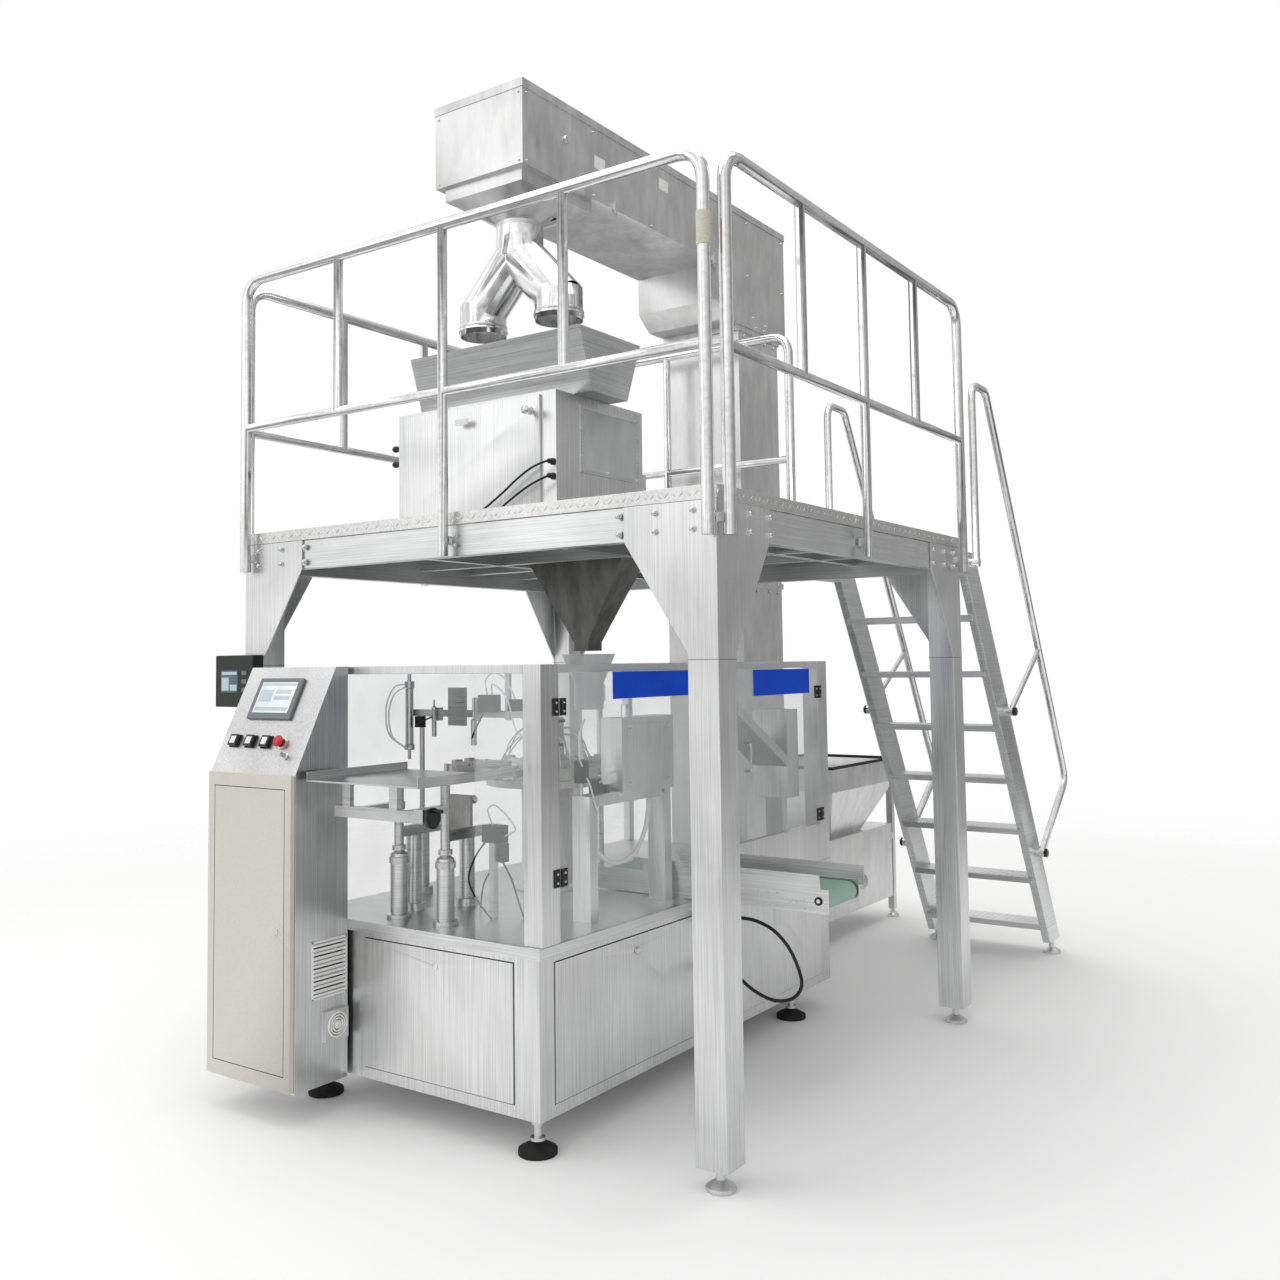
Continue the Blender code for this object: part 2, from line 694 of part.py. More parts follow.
def worktop():
    """The worktop plate with its bore for the shaft, the funnel's guide post and two cam posts."""
    low = (BASE_LEFT - WORKTOP_OVERHANG, BASE_FRONT - WORKTOP_OVERHANG, WORKTOP_HEIGHT - WORKTOP_THICKNESS)
    high = (BASE_RIGHT + WORKTOP_OVERHANG, BASE_BACK + WORKTOP_OVERHANG, WORKTOP_HEIGHT)
    shells = [box(low, high)]
    sunk = WORKTOP_HEIGHT - WORKTOP_THICKNESS / 2
    x, y = GUIDE_POST
    shells.append(rod((x, y, sunk), (x, y, GUARD_TOP), GUIDE_RADIUS))
    post_top = 1.0
    for x, y in CAM_POSTS:
        shells.append(turned((x, y, sunk), (0, 0, 1),
                             [(0.045, 0), (0.045, 0.05), (0.03, 0.05), (0.03, post_top - sunk)]))
    bore = rod((CAROUSEL_X, CAROUSEL_Y, 0.5), (CAROUSEL_X, CAROUSEL_Y, 1.0), SHAFT_RADIUS + 2 * RUNNING_GAP)
    piece("worktop", BRUSHED_STEEL, shells, [bore])


GUIDE_POST = (FILL_POINT[0] - 0.10, FILL_POINT[1] + 0.22)
GUIDE_RADIUS = 0.015
CAM_POSTS = ((-1.478, 0.146), (-1.37, 0.334), (-1.70, 0.42))


def indexing_drive():
    """The gearbox under the worktop, on its pedestal, with the motor behind it."""
    bottom = BASE_BOTTOM + 0.012 + GAP
    top = BASE_TOP - 0.02
    half = 0.16
    x, y = CAROUSEL_X, CAROUSEL_Y
    box_bottom = top - 0.26
    motor_y = y + half
    motor_z = box_bottom + 0.10
    shells = [
        box((x - half, y - half, box_bottom), (x + half, y + half, top)),
        box((x - 0.12, y - 0.12, bottom), (x + 0.12, y + 0.12, box_bottom + 0.01)),
        rod((x, motor_y - 0.01, motor_z), (x, motor_y + 0.30, motor_z), 0.085),
        rod((x, motor_y + 0.29, motor_z), (x, motor_y + 0.34, motor_z), 0.07),
    ]
    socket = rod((x, y, top - 0.12), (x, y, top + 0.1), SHAFT_RADIUS + RUNNING_GAP)
    piece("indexing_drive", GREY_CAST, shells, [socket])


# Guarding


GUARD_LEFT = BASE_LEFT
GUARD_RIGHT = BASE_RIGHT + WORKTOP_OVERHANG
GUARD_FOOT = WORKTOP_HEIGHT + GAP
NEAR_DOOR_START = BASE_FRONT + GUARD_POST_DEPTH
MIDDLE_POST = (CONVEYOR_FAR + 0.012, CONVEYOR_FAR + 0.062)


HINGE_LEAF = 0.022
HINGE_PLATE = 0.005
HINGE_PIN_OUT = 0.0062
HINGE_LENGTH = 0.06
HINGE_HEIGHTS = (1.473, 0.89)


def guard_frame():
    """Posts on the worktop, with sill rails, a top rail, and fixed panes at the left and the back."""
    post_x = (GUARD_RIGHT - GUARD_POST, GUARD_RIGHT)
    rail = 0.03
    pane_x = (GUARD_LEFT, GUARD_LEFT + PANE)
    weld = 0.002
    shells = [
        box((post_x[0], BASE_FRONT, GUARD_FOOT), (post_x[1], NEAR_DOOR_START, GUARD_TOP)),
        box((post_x[0], BASE_BACK - 0.10, GUARD_FOOT), (post_x[1], BASE_BACK, GUARD_TOP)),
        box((post_x[1] - 0.04, MIDDLE_POST[0], GUARD_FOOT), (post_x[1], MIDDLE_POST[1], GUARD_TOP)),
        box((GUARD_LEFT, BASE_FRONT, GUARD_FOOT), (GUARD_LEFT + 0.04, BASE_FRONT + 0.04, GUARD_TOP)),
        box((GUARD_LEFT, BASE_BACK - 0.04, GUARD_FOOT), (GUARD_LEFT + 0.04, BASE_BACK, GUARD_TOP)),
        box((pane_x[0], BASE_FRONT + 0.03, GUARD_FOOT), (pane_x[1], BASE_BACK - 0.03, GUARD_TOP)),
        box((GUARD_LEFT + 0.03, BASE_BACK - PANE, GUARD_FOOT), (post_x[0] + weld, BASE_BACK, GUARD_TOP)),
        box((post_x[0] - 0.22, BASE_FRONT, GUARD_FOOT), (post_x[0] + weld, BASE_FRONT + PANE, GUARD_TOP)),
        box((GUARD_LEFT + 0.03, BASE_FRONT, GUARD_TOP - rail),
            (post_x[0] + weld, BASE_FRONT + 0.02, GUARD_TOP)),
        box((post_x[0], NEAR_DOOR_START - weld, GUARD_TOP - rail),
            (post_x[0] + 0.02, BASE_BACK - 0.09, GUARD_TOP)),
        box((post_x[0], MIDDLE_POST[0] + weld, GUARD_TOP - rail),
            (post_x[1] - 0.02, MIDDLE_POST[1] - weld, GUARD_TOP)),
        box((post_x[1] - 0.03, MIDDLE_POST[0], GUARD_FOOT),
            (post_x[1], BASE_BACK - 0.09, FAR_DOOR_SILL - DOOR_GAP)),
    ]
    clear = DOOR_GAP + HINGE_PLATE + RUNNING_GAP
    for low_y, high_y in (
        (NEAR_DOOR_START - HINGE_LEAF, NEAR_DOOR_START + DOOR_GAP - clear),
        (BASE_BACK - 0.10 - DOOR_GAP + clear, BASE_BACK - 0.10 + HINGE_LEAF),
    ):
        for z in HINGE_HEIGHTS:
            shells.append(box((GUARD_RIGHT - weld, low_y, z),
                              (GUARD_RIGHT + HINGE_PLATE, high_y, z + HINGE_LENGTH)))
    piece("guard_frame", ALUMINIUM, shells)


def guard_doors():
    """Clear panes hung on black hinges on the two end posts."""
    x = (GUARD_RIGHT - PANE, GUARD_RIGHT)
    near_end = MIDDLE_POST[0] - DOOR_GAP
    near_start = NEAR_DOOR_START + DOOR_GAP
    notch = CONVEYOR_NEAR - 0.02
    near_outline = [
        (near_start, GUARD_FOOT + DOOR_GAP),
        (notch, GUARD_FOOT + DOOR_GAP),
        (notch, FAR_DOOR_SILL),
        (near_end, FAR_DOOR_SILL),
        (near_end, GUARD_TOP),
        (near_start, GUARD_TOP),
    ]
    far_start = MIDDLE_POST[1] + DOOR_GAP
    far_end = BASE_BACK - 0.10 - DOOR_GAP
    far_outline = [
        (far_start, FAR_DOOR_SILL),
        (far_end, FAR_DOOR_SILL),
        (far_end, GUARD_TOP),
        (far_start, GUARD_TOP),
    ]
    for name, outline, hinge_y, reach, handle_y in (
        ("guard_door_right_front", near_outline, near_start, HINGE_LEAF, near_end - 0.08),
        ("guard_door_right_rear", far_outline, far_end, -HINGE_LEAF, far_start + 0.08),
    ):
        shells = [prism(outline, "x", *x)]
        pin_x = GUARD_RIGHT + HINGE_PIN_OUT
        for z in HINGE_HEIGHTS:
            low_y, high_y = sorted((hinge_y, hinge_y + reach))
            shells.append(box((x[1] - 0.002, low_y, z), (x[1] + HINGE_PLATE, high_y, z + HINGE_LENGTH)))
            shells.append(rod((pin_x, hinge_y, z), (pin_x, hinge_y, z + HINGE_LENGTH), 0.005, 8))
        handle = [(x[1] - 0.002, handle_y, 1.30), (x[1] + 0.03, handle_y, 1.30),
                  (x[1] + 0.03, handle_y, 1.18), (x[1] - 0.002, handle_y, 1.18)]
        shells.append(tube(bent(handle, 0.012), 0.005, (0, 1, 0), 8))
        piece(name, CLEAR_PLASTIC, shells, pivot=(pin_x, hinge_y, FAR_DOOR_SILL))


# Control cabinet


SLOPE_RISE = GUARD_TOP - CABINET_SLOPE_START
SLOPE_BACK = CABINET_DEPTH - CABINET_FLAT_TOP
SLOPE = Vector((0, SLOPE_BACK, SLOPE_RISE)).normalized()
PANEL_OUT = Vector((0, -SLOPE_RISE, SLOPE_BACK)).normalized()
SLOPE_LENGTH = math.hypot(SLOPE_RISE, SLOPE_BACK)


def on_panel(x, up, out=0.0):
    """A point on the sloping control panel: so far up its slope, and so far out of it."""
    foot = Vector((x, CABINET_FRONT, CABINET_SLOPE_START))
    return foot + SLOPE * up + PANEL_OUT * out


BUTTON_UP = 0.118
BUTTON_X = tuple(CABINET_LEFT + offset for offset in (0.078, 0.170, 0.262))
ESTOP_X = CABINET_LEFT + 0.345
KEY_X = CABINET_LEFT + 0.40
KEY_UP = 0.065
SCREEN_X = CABINET_LEFT + 0.222
SCREEN_UP = 0.295
SCREEN_WIDTH = 0.25
SCREEN_HEIGHT = 0.17


def control_cabinet():
    """A hollow sheet cabinet with a sloping panel, open at the front for its door."""
    bottom = CABINET_BOTTOM
    wall = CABINET_WALL
    front, back = CABINET_FRONT, CABINET_BACK
    outline = [
        (front, bottom),
        (front, CABINET_SLOPE_START),
        (front + SLOPE_BACK, GUARD_TOP),
        (back, GUARD_TOP),
        (back, bottom),
    ]
    lean = wall * math.tan(math.radians(20))
    inner = [
        (front + wall, bottom + wall),
        (front + wall, CABINET_SLOPE_START - lean),
        (front + SLOPE_BACK + lean, GUARD_TOP - wall),
        (back - wall, GUARD_TOP - wall),
        (back - wall, bottom + wall),
    ]
    x = (CABINET_LEFT, CABINET_RIGHT)
    cuts = [prism(inner, "x", x[0] + wall, x[1] - wall)]
    margin = 0.03
    cuts.append(
        box((x[0] + margin, front - margin, bottom + margin),
            (x[1] - margin, front + margin, CABINET_SLOPE_START - margin))
    )
    depth = 0.03
    for button_x in BUTTON_X:
        cuts.append(rod(on_panel(button_x, BUTTON_UP, -depth), on_panel(button_x, BUTTON_UP, depth), 0.0115))
    cuts.append(rod(on_panel(ESTOP_X, BUTTON_UP, -depth), on_panel(ESTOP_X, BUTTON_UP, depth), 0.0115))
    cuts.append(rod(on_panel(KEY_X, KEY_UP, -depth), on_panel(KEY_X, KEY_UP, depth), 0.0095))
    fan = (back - 0.068, 0.33)
    louvers = [
        box((x[1] - margin, back - 0.17, 0.445 + i * 0.024), (x[1] + margin, back - 0.025, 0.454 + i * 0.024))
        for i in range(8)
    ]
    fan_cover = box((x[1] - wall / 2, fan[0] - 0.055, fan[1] - 0.055),
                    (x[1] + 0.02, fan[0] + 0.055, fan[1] + 0.055))
    piece("control_cabinet", BRUSHED_STEEL, [prism(outline, "x", *x), fan_cover], cuts + louvers)


def control_cabinet_door():
    """The enamelled door laid over the opening, hung on its left edge, with a lock at its right."""
    edge = 0.006
    low = (CABINET_LEFT + edge, CABINET_FRONT - CABINET_DOOR - GAP, CABINET_BOTTOM + edge)
    high = (CABINET_RIGHT - edge, CABINET_FRONT - GAP, CABINET_SLOPE_START - edge)
    lock_x = CABINET_RIGHT - 0.085
    lock_z = (low[2] + high[2]) / 2
    lock = rod((lock_x, high[1] + 0.02, lock_z), (lock_x, low[1] - 0.004, lock_z), 0.011)
    piece("control_cabinet_door", GREY_ENAMEL, [box(low, high), lock], pivot=(low[0], low[1], low[2]))


def panel_box(x, up, width, height, low, high):
    """A block standing on the sloping panel."""
    return bar(on_panel(x, up, low), on_panel(x, up, high), width, height, (1, 0, 0))


def operator_controls():
    """What the operator touches: the screen, three buttons, the emergency stop and the key."""
    thickness = 0.012
    screen = panel_box(SCREEN_X, SCREEN_UP, SCREEN_WIDTH, SCREEN_HEIGHT, GAP, thickness)
    piece("touch_screen", SCREEN_GLASS, [screen])
    stem = 0.010
    names = ("push_button_left", "push_button_middle", "push_button_right")
    travel_room = BUTTON_TRAVEL + 0.001
    for name, x in zip(names, BUTTON_X):
        cap = panel_box(x, BUTTON_UP, BUTTON_SIDE, BUTTON_SIDE, travel_room, travel_room + 0.012)
        shaft = rod(on_panel(x, BUTTON_UP, -0.02), on_panel(x, BUTTON_UP, travel_room + 0.004), stem)
        piece(name, BLACK_PLASTIC, [cap, shaft], pivot=on_panel(x, BUTTON_UP))
    travel_room = ESTOP_TRAVEL + 0.004
    head = [(0.014, 0.0), (ESTOP_RADIUS, 0.006), (ESTOP_RADIUS, 0.014), (0.015, 0.020)]
    mushroom = turned(on_panel(ESTOP_X, BUTTON_UP, travel_room), PANEL_OUT, head)
    shaft = rod(on_panel(ESTOP_X, BUTTON_UP, -0.02), on_panel(ESTOP_X, BUTTON_UP, travel_room + 0.004), stem)
    piece("estop_button", RED_PLASTIC, [mushroom, shaft], pivot=on_panel(ESTOP_X, BUTTON_UP))
    barrel = turned(on_panel(KEY_X, KEY_UP, GAP), PANEL_OUT, [(0.013, 0.0), (0.013, 0.006), (0.010, 0.009)])
    plug = rod(on_panel(KEY_X, KEY_UP, -0.02), on_panel(KEY_X, KEY_UP, 0.004), 0.008)
    key = panel_box(KEY_X, KEY_UP, 0.004, 0.016, 0.006, 0.034)
    piece("key_switch", POLISHED_STEEL, [barrel, plug, key], pivot=on_panel(KEY_X, KEY_UP))


def remote_screen():
    """The weigher's own operator panel, held beside the left leg by a bracket."""
    left = -PLATFORM_WIDTH - 0.08
    low = (left, -0.09, 1.487)
    high = (left + 0.245, -0.035, 1.703)
    arm = box((-PLATFORM_WIDTH + 0.03, -0.036, 1.56), (LEG_SIDE - PLATFORM_WIDTH - 0.03, -GAP, 1.63))
    piece("remote_screen", BLACK_PLASTIC, [box(low, high), arm])


# Carousel


def carousel_pedestal():
    """The bearing housing on the worktop that the carousel's shaft runs in."""
    foot = WORKTOP_HEIGHT + GAP
    top = TABLE_HEIGHT - 0.04
    flange = PEDESTAL_RADIUS + 0.035
    bore = SHAFT_RADIUS + RUNNING_GAP
    profile = [
        (flange, 0.0),
        (flange, 0.015),
        (PEDESTAL_RADIUS, 0.02),
        (PEDESTAL_RADIUS, top - foot),
        (bore, top - foot),
        (bore, 0.0),
    ]
    piece("carousel_pedestal", ALUMINIUM, [turned((CAROUSEL_X, CAROUSEL_Y, foot), (0, 0, 1), profile, 20,
                                                  True)])


def carousel_turntable():
    """The indexing table on its shaft, with a pair of gripper arms at each station and an air manifold."""
    centre = Vector((CAROUSEL_X, CAROUSEL_Y, 0))
    shaft_bottom = BASE_TOP - 0.12
    table_bottom = TABLE_HEIGHT - 0.03
    manifold_top = 1.42
    profile = [
        (SHAFT_RADIUS, shaft_bottom),
        (SHAFT_RADIUS, table_bottom),
        (TABLE_RADIUS, table_bottom),
        (TABLE_RADIUS, TABLE_HEIGHT),
        (0.13, TABLE_HEIGHT),
        (0.13, ARM_HEIGHT + 0.03),
        (0.075, ARM_HEIGHT + 0.05),
        (0.075, manifold_top),
    ]
    shells = [turned(centre, (0, 0, 1), profile, 24)]
    arm_width = 0.018
    arm_height = 0.028
    finger = 0.035
    for station in range(STATIONS):
        angle = math.radians(PICKUP_ANGLE + 360.0 / STATIONS * station)
        out = Vector((math.cos(angle), math.sin(angle), 0))
        side = Vector((-math.sin(angle), math.cos(angle), 0))
        carrier = centre + out * 0.11
        carrier.z = TABLE_HEIGHT + 0.018
        shells.append(bar(carrier, carrier + out * 0.13, 0.10, 0.045, side))
        for hand in (-1, 1):
            root = centre + out * 0.20 + side * hand * 0.035
            tip = centre + out * BAG_RADIUS + side * hand * BAG_HALF_WIDTH
            root.z = ARM_HEIGHT
            tip.z = ARM_HEIGHT
            across = (tip - root).cross(Vector((0, 0, 1)))
            shells.append(bar(root, tip, arm_width, arm_height, across))
            grip = tip - side * hand * finger / 2
            shells.append(bar(grip - out * 0.012, grip + out * 0.012, finger + arm_width, arm_height * 1.4,
                              side))
    piece("carousel_turntable", ALUMINIUM, shells, pivot=centre + Vector((0, 0, TABLE_HEIGHT)))


# Stations round the carousel


PICK_PIVOT = (-1.295, 0.20, 1.02)
PICK_SHAFT = 0.012
MAGAZINE_X = (-1.54, -0.98)
MAGAZINE_Y = (-0.34, 0.17)
MAGAZINE_HEIGHT = 1.235
MAGAZINE_COLUMNS = (-1.424, -1.185)
WHEEL_AXIS = (-0.99, -0.25, 1.127)


def bag_magazine():
    """The bag tray with its two side guides, on a carrier and two columns."""
    x, y = MAGAZINE_X, MAGAZINE_Y
    plate = 0.006
    wall = 0.004
    guide = 0.035
    z = MAGAZINE_HEIGHT
    foot = WORKTOP_HEIGHT + GAP
    shells = [box((x[0], y[0], z), (x[1], y[1], z + plate))]
    for edge in (x[0], x[1] - wall):
        shells.append(box((edge, y[0], z + wall / 2), (edge + wall, y[1], z + guide)))
    carrier_z = z - 0.13
    shells.append(box((x[0] + 0.06, -0.26, carrier_z), (x[1] - 0.08, -0.23, carrier_z + 0.04)))
    for column_x in MAGAZINE_COLUMNS:
        shells.append(box((column_x - 0.02, -0.255, carrier_z + 0.02),
                          (column_x + 0.02, -0.235, z + plate / 2)))
        shells.append(box((column_x - 0.015, -0.25, carrier_z + 0.002),
                          (column_x + 0.015, 0.03, carrier_z + 0.03)))
        column = [(0.033, 0.0), (0.033, 0.24), (0.018, 0.25), (0.018, z + plate / 2 - foot)]
        shells.append(turned((column_x, 0.012, foot), (0, 0, 1), column))
        bearing_z = PICK_PIVOT[2]
        shells.append(box((column_x - 0.009, 0.012, bearing_z - 0.02),
                          (column_x + 0.009, PICK_PIVOT[1] + 0.025, bearing_z + 0.02)))
    hub = (WHEEL_AXIS[0] - 0.05, WHEEL_AXIS[1], WHEEL_AXIS[2])
    shells.append(box((x[1] - 0.09, -0.268, carrier_z + 0.001), (hub[0] + 0.012, -0.232, carrier_z + 0.05)))
    _, pick_y, pick_z = PICK_PIVOT
    bore = rod((x[0], pick_y, pick_z), (x[1], pick_y, pick_z), PICK_SHAFT + RUNNING_GAP / 4, 12)
    piece("bag_magazine", BRUSHED_STEEL, shells, [bore])


def magazine_handwheel():
    """The black hand crank that sets the magazine's width."""
    x, y, z = WHEEL_AXIS
    radius = 0.036
    start = x - 0.05 + 0.012 + GAP
    shells = [
        turned((start, y, z), (1, 0, 0), [(0.008, 0), (0.008, 0.02), (radius, 0.022), (radius, 0.036)]),
        rod((start + 0.03, y, z + radius * 0.7), (start + 0.075, y, z + radius * 0.7), 0.007, TUBE_SIDES),
    ]
    piece("magazine_handwheel", BLACK_PLASTIC, shells, pivot=(start, y, z))


def bag_pick_arm():
    """The swinging arm with two suction cups that carries a bag from the tray to the grippers."""
    x, y, z = PICK_PIVOT
    reach = 0.13
    shells = [
        rod((x - 0.145, y, z), (x + 0.145, y, z), PICK_SHAFT, 12),
        box((x - 0.07, y - 0.008, z - 0.002), (x + 0.07, y + 0.008, z + reach)),
    ]
    for cup_x in (x - 0.045, x + 0.045):
        cup = [(0.006, 0.0), (0.006, 0.02), (0.017, 0.035), (0.017, 0.04)]
        shells.append(turned((cup_x, y + 0.006, z + reach - 0.02), (0, 1, 0), cup, 12))
    piece("bag_pick_arm", ALUMINIUM, shells, pivot=PICK_PIVOT)


def fill_funnel():
    """The clear cone over the filling station, on a collar that slides on its guide post."""
    x, y = FILL_POINT
    wall = CUP_WALL
    profile = [
        (CUP_NECK_RADIUS, CUP_BOTTOM),
        (CUP_NECK_RADIUS, CUP_NECK),
        (CUP_RADIUS, CUP_TOP),
        (CUP_RADIUS - wall, CUP_TOP),
        (CUP_NECK_RADIUS - wall, CUP_NECK),
        (CUP_NECK_RADIUS - wall, CUP_BOTTOM),
    ]
    post_x, post_y = GUIDE_POST
    z = CUP_NECK - 0.05
    shells = [turned((x, y, 0), (0, 0, 1), profile, 20, True)]
    toward = Vector((post_x - x, post_y - y, 0)).normalized()
    start = Vector((x, y, z)) + toward * (CUP_NECK_RADIUS - wall / 2)
    shells.append(bar(start, (post_x, post_y, z), 0.04, 0.018, toward.cross(Vector((0, 0, 1)))))
    shells.append(rod((post_x, post_y, z - 0.04), (post_x, post_y, z + 0.04), GUIDE_RADIUS + 0.015))
    bore = rod((post_x, post_y, z - 0.1), (post_x, post_y, z + 0.1), GUIDE_RADIUS + RUNNING_GAP / 2)
    piece("fill_funnel", CLEAR_PLASTIC, shells, [bore], pivot=(x, y, CUP_TOP))


SEAL_X = (-0.825, -0.725)
SEAL_Y = (0.50, 0.865)
SEAL_Z = (1.15, 1.44)


def seal_unit():
    """The sealing station's housing on its bridge and two square legs."""
    foot = WORKTOP_HEIGHT + GAP
    leg = 0.05
    x = SEAL_X
    near = SEAL_Y[0] - 0.20
    shells = [
        box((x[0], SEAL_Y[0], SEAL_Z[0]), (x[1], SEAL_Y[1], SEAL_Z[1])),
        box((x[0] + 0.01, near, SEAL_Z[0] - 0.03), (x[1] - 0.01, SEAL_Y[1] - 0.01, SEAL_Z[0] + 0.01)),
        box((x[0] + 0.01, near, foot), (x[1] - 0.01, near + leg, SEAL_Z[0])),
        box((x[0] + 0.01, SEAL_Y[1] - leg - 0.01, foot), (x[1] - 0.01, SEAL_Y[1] - 0.01, SEAL_Z[0])),
        rod((x[0] + 0.05, SEAL_Y[0] + 0.1, SEAL_Z[1] - 0.01),
            (x[0] + 0.05, SEAL_Y[0] + 0.1, SEAL_Z[1] + 0.05), 0.02),
    ]
    jaw_y = CAROUSEL_Y
    bore = rod((x[0] - 0.05, jaw_y, JAW_Z), (x[1] - 0.01, jaw_y, JAW_Z), JAW_ROD + RUNNING_GAP / 2)
    piece("seal_unit", BRUSHED_STEEL, shells, [bore])


JAW_Z = SEAL_Z[0] - 0.01
JAW_ROD = 0.010
JAW_TRAVEL = 0.045


def seal_jaw():
    """The heated bar on its rod, which moves in under the grippers."""
    y = CAROUSEL_Y
    face = SEAL_X[0] - 0.012
    shells = [
        box((face - 0.03, y - 0.09, JAW_Z - 0.02), (face, y + 0.055, JAW_Z + 0.012)),
        rod((face - 0.01, y, JAW_Z), (SEAL_X[1] - 0.02, y, JAW_Z), JAW_ROD, 12),
    ]
    piece("seal_jaw", BRUSHED_STEEL, shells, pivot=(face, y, JAW_Z))


def reject_chute():
    """The sloping chute to the reject box at the back of the worktop."""
    x = (-0.93, -0.74)
    end = (BASE_BACK - 0.23, 1.14)
    start = (end[0] - 0.48, 1.42)
    plate = 0.006
    wall = 0.004
    foot = WORKTOP_HEIGHT + GAP
    rise = 0.05
    floor = [start, (start[0], start[1] + plate), (end[0] + 0.02, end[1] + plate), (end[0] + 0.02, end[1])]
    side = [start, (start[0], start[1] + rise), (end[0] + 0.02, end[1] + rise), (end[0] + 0.02, end[1])]
    shells = [prism(floor, "x", *x)]
    for edge in (x[0], x[1] - wall):
        shells.append(prism(side, "x", edge, edge + wall))
    shells.append(box((x[0], end[0], 1.0), (x[1], end[0] + 0.11, end[1] + 0.28)))
    shells.append(box((x[0] + 0.05, end[0] + 0.03, foot), (x[1] - 0.05, end[0] + 0.08, 1.01)))
    room = box((x[0] + wall, end[0] + wall, 1.01), (x[1] - wall, end[0] + 0.11 - wall, end[1] + 0.30))
    mouth = box((x[0] + wall, end[0] - 0.005, end[1] + plate + 0.008),
                (x[1] - wall, end[0] + 0.05, end[1] + rise))
    piece("reject_chute", BRUSHED_STEEL, shells, [room, mouth])


# Discharge conveyor


ROLLER_Z = CONVEYOR_TOP - 0.008 - BELT_THICKNESS - ROLLER_RADIUS
ROLLER_X = (CONVEYOR_INNER_END + 0.04, CONVEYOR_OUTER_END - 0.04)
SIDE_PLATE = 0.005
ROLLER_FACETS = 40
JUNCTION_X = (-0.60, -0.53)
JUNCTION_Y = 0.985
JUNCTION_DROP = 0.0723


def conveyor_frame():
    """Two side plates tied by bars, with the feet, the guide plates, the belt motor and its terminal box."""
    foot = WORKTOP_HEIGHT + GAP
    x = (CONVEYOR_INNER_END, CONVEYOR_OUTER_END)
    near, far = CONVEYOR_NEAR, CONVEYOR_FAR
    shells = []
    for y in (near, far - SIDE_PLATE):
        shells.append(box((x[0], y, foot + 0.004), (x[1], y + SIDE_PLATE, CONVEYOR_TOP)))
    for tie_x in (x[0] + 0.25, (x[0] + x[1]) / 2, x[1] - 0.25):
        shells.append(box((tie_x - 0.02, near + 0.002, ROLLER_Z - 0.012),
                          (tie_x + 0.02, far - 0.002, ROLLER_Z + 0.012)))
    for foot_x in (x[0] + 0.08, BASE_RIGHT - 0.06):
        for y in (near + 0.001, far - 0.021):
            shells.append(box((foot_x - 0.02, y, foot), (foot_x + 0.02, y + 0.02, foot + 0.010)))
    flare = 0.014
    rise = 0.055
    guide = 0.003
    near_guide = [(near, CONVEYOR_TOP - 0.02), (near + guide, CONVEYOR_TOP - 0.02),
                  (near + guide - flare, CONVEYOR_TOP + rise), (near - flare, CONVEYOR_TOP + rise)]
    far_guide = [(far - guide, CONVEYOR_TOP - 0.02), (far, CONVEYOR_TOP - 0.02),
                 (far + flare / 2, CONVEYOR_TOP + rise), (far + flare / 2 - guide, CONVEYOR_TOP + rise)]
    shells.append(prism(near_guide, "x", GUARD_RIGHT - 0.25, x[1] - 0.03))
    shells.append(prism(far_guide, "x", GUARD_RIGHT - 0.25, x[1] + 0.02))
    motor_x = x[1] - 0.085
    shells.append(box((motor_x - 0.045, far - 0.001, foot + 0.006),
                      (motor_x + 0.045, far + 0.10, CONVEYOR_TOP - 0.01)))
    shells.append(rod((motor_x, far + 0.09, ROLLER_Z), (motor_x, far + 0.20, ROLLER_Z), 0.036))
    junction_left, junction_right = JUNCTION_X
    shells.append(box((junction_left, near + 0.002, foot - 0.010),
                      (junction_right, far - 0.002, foot + 0.009)))
    exit_y, exit_z = JUNCTION_Y, foot - JUNCTION_DROP
    shells.append(box((junction_left, exit_y - 0.04, exit_z - 0.03), (junction_right, exit_y + 0.04, foot)))
    gland_end = junction_right + GLAND_LENGTH
    shells.append(rod((junction_right - 0.01, exit_y, exit_z), (gland_end, exit_y, exit_z), GLAND_RADIUS))
    cuts = []
    for roller_x in ROLLER_X:
        cuts.append(rod((roller_x, near - 0.05, ROLLER_Z), (roller_x, far + 0.05, ROLLER_Z),
                        JOURNAL + RUNNING_GAP / 2, 12))
    piece("conveyor_frame", BRUSHED_STEEL, shells, cuts)


JOURNAL = 0.008


def conveyor_rollers():
    """The driven roller at the outer end and the tail roller at the inner end, on their journals."""
    inner = 0.008
    near = CONVEYOR_NEAR + SIDE_PLATE + inner
    far = CONVEYOR_FAR - SIDE_PLATE - inner
    for name, x in zip(("conveyor_tail_roller", "conveyor_drive_roller"), ROLLER_X):
        profile = [
            (JOURNAL, -inner - SIDE_PLATE - 0.004),
            (JOURNAL, 0.0),
            (ROLLER_RADIUS, 0.0),
            (ROLLER_RADIUS, far - near),
            (JOURNAL, far - near),
            (JOURNAL, far - near + inner + SIDE_PLATE + 0.004),
        ]
        roller = turned((x, near, ROLLER_Z), (0, 1, 0), profile, ROLLER_FACETS)
        piece(name, POLISHED_STEEL, [roller], pivot=(x, near, ROLLER_Z))


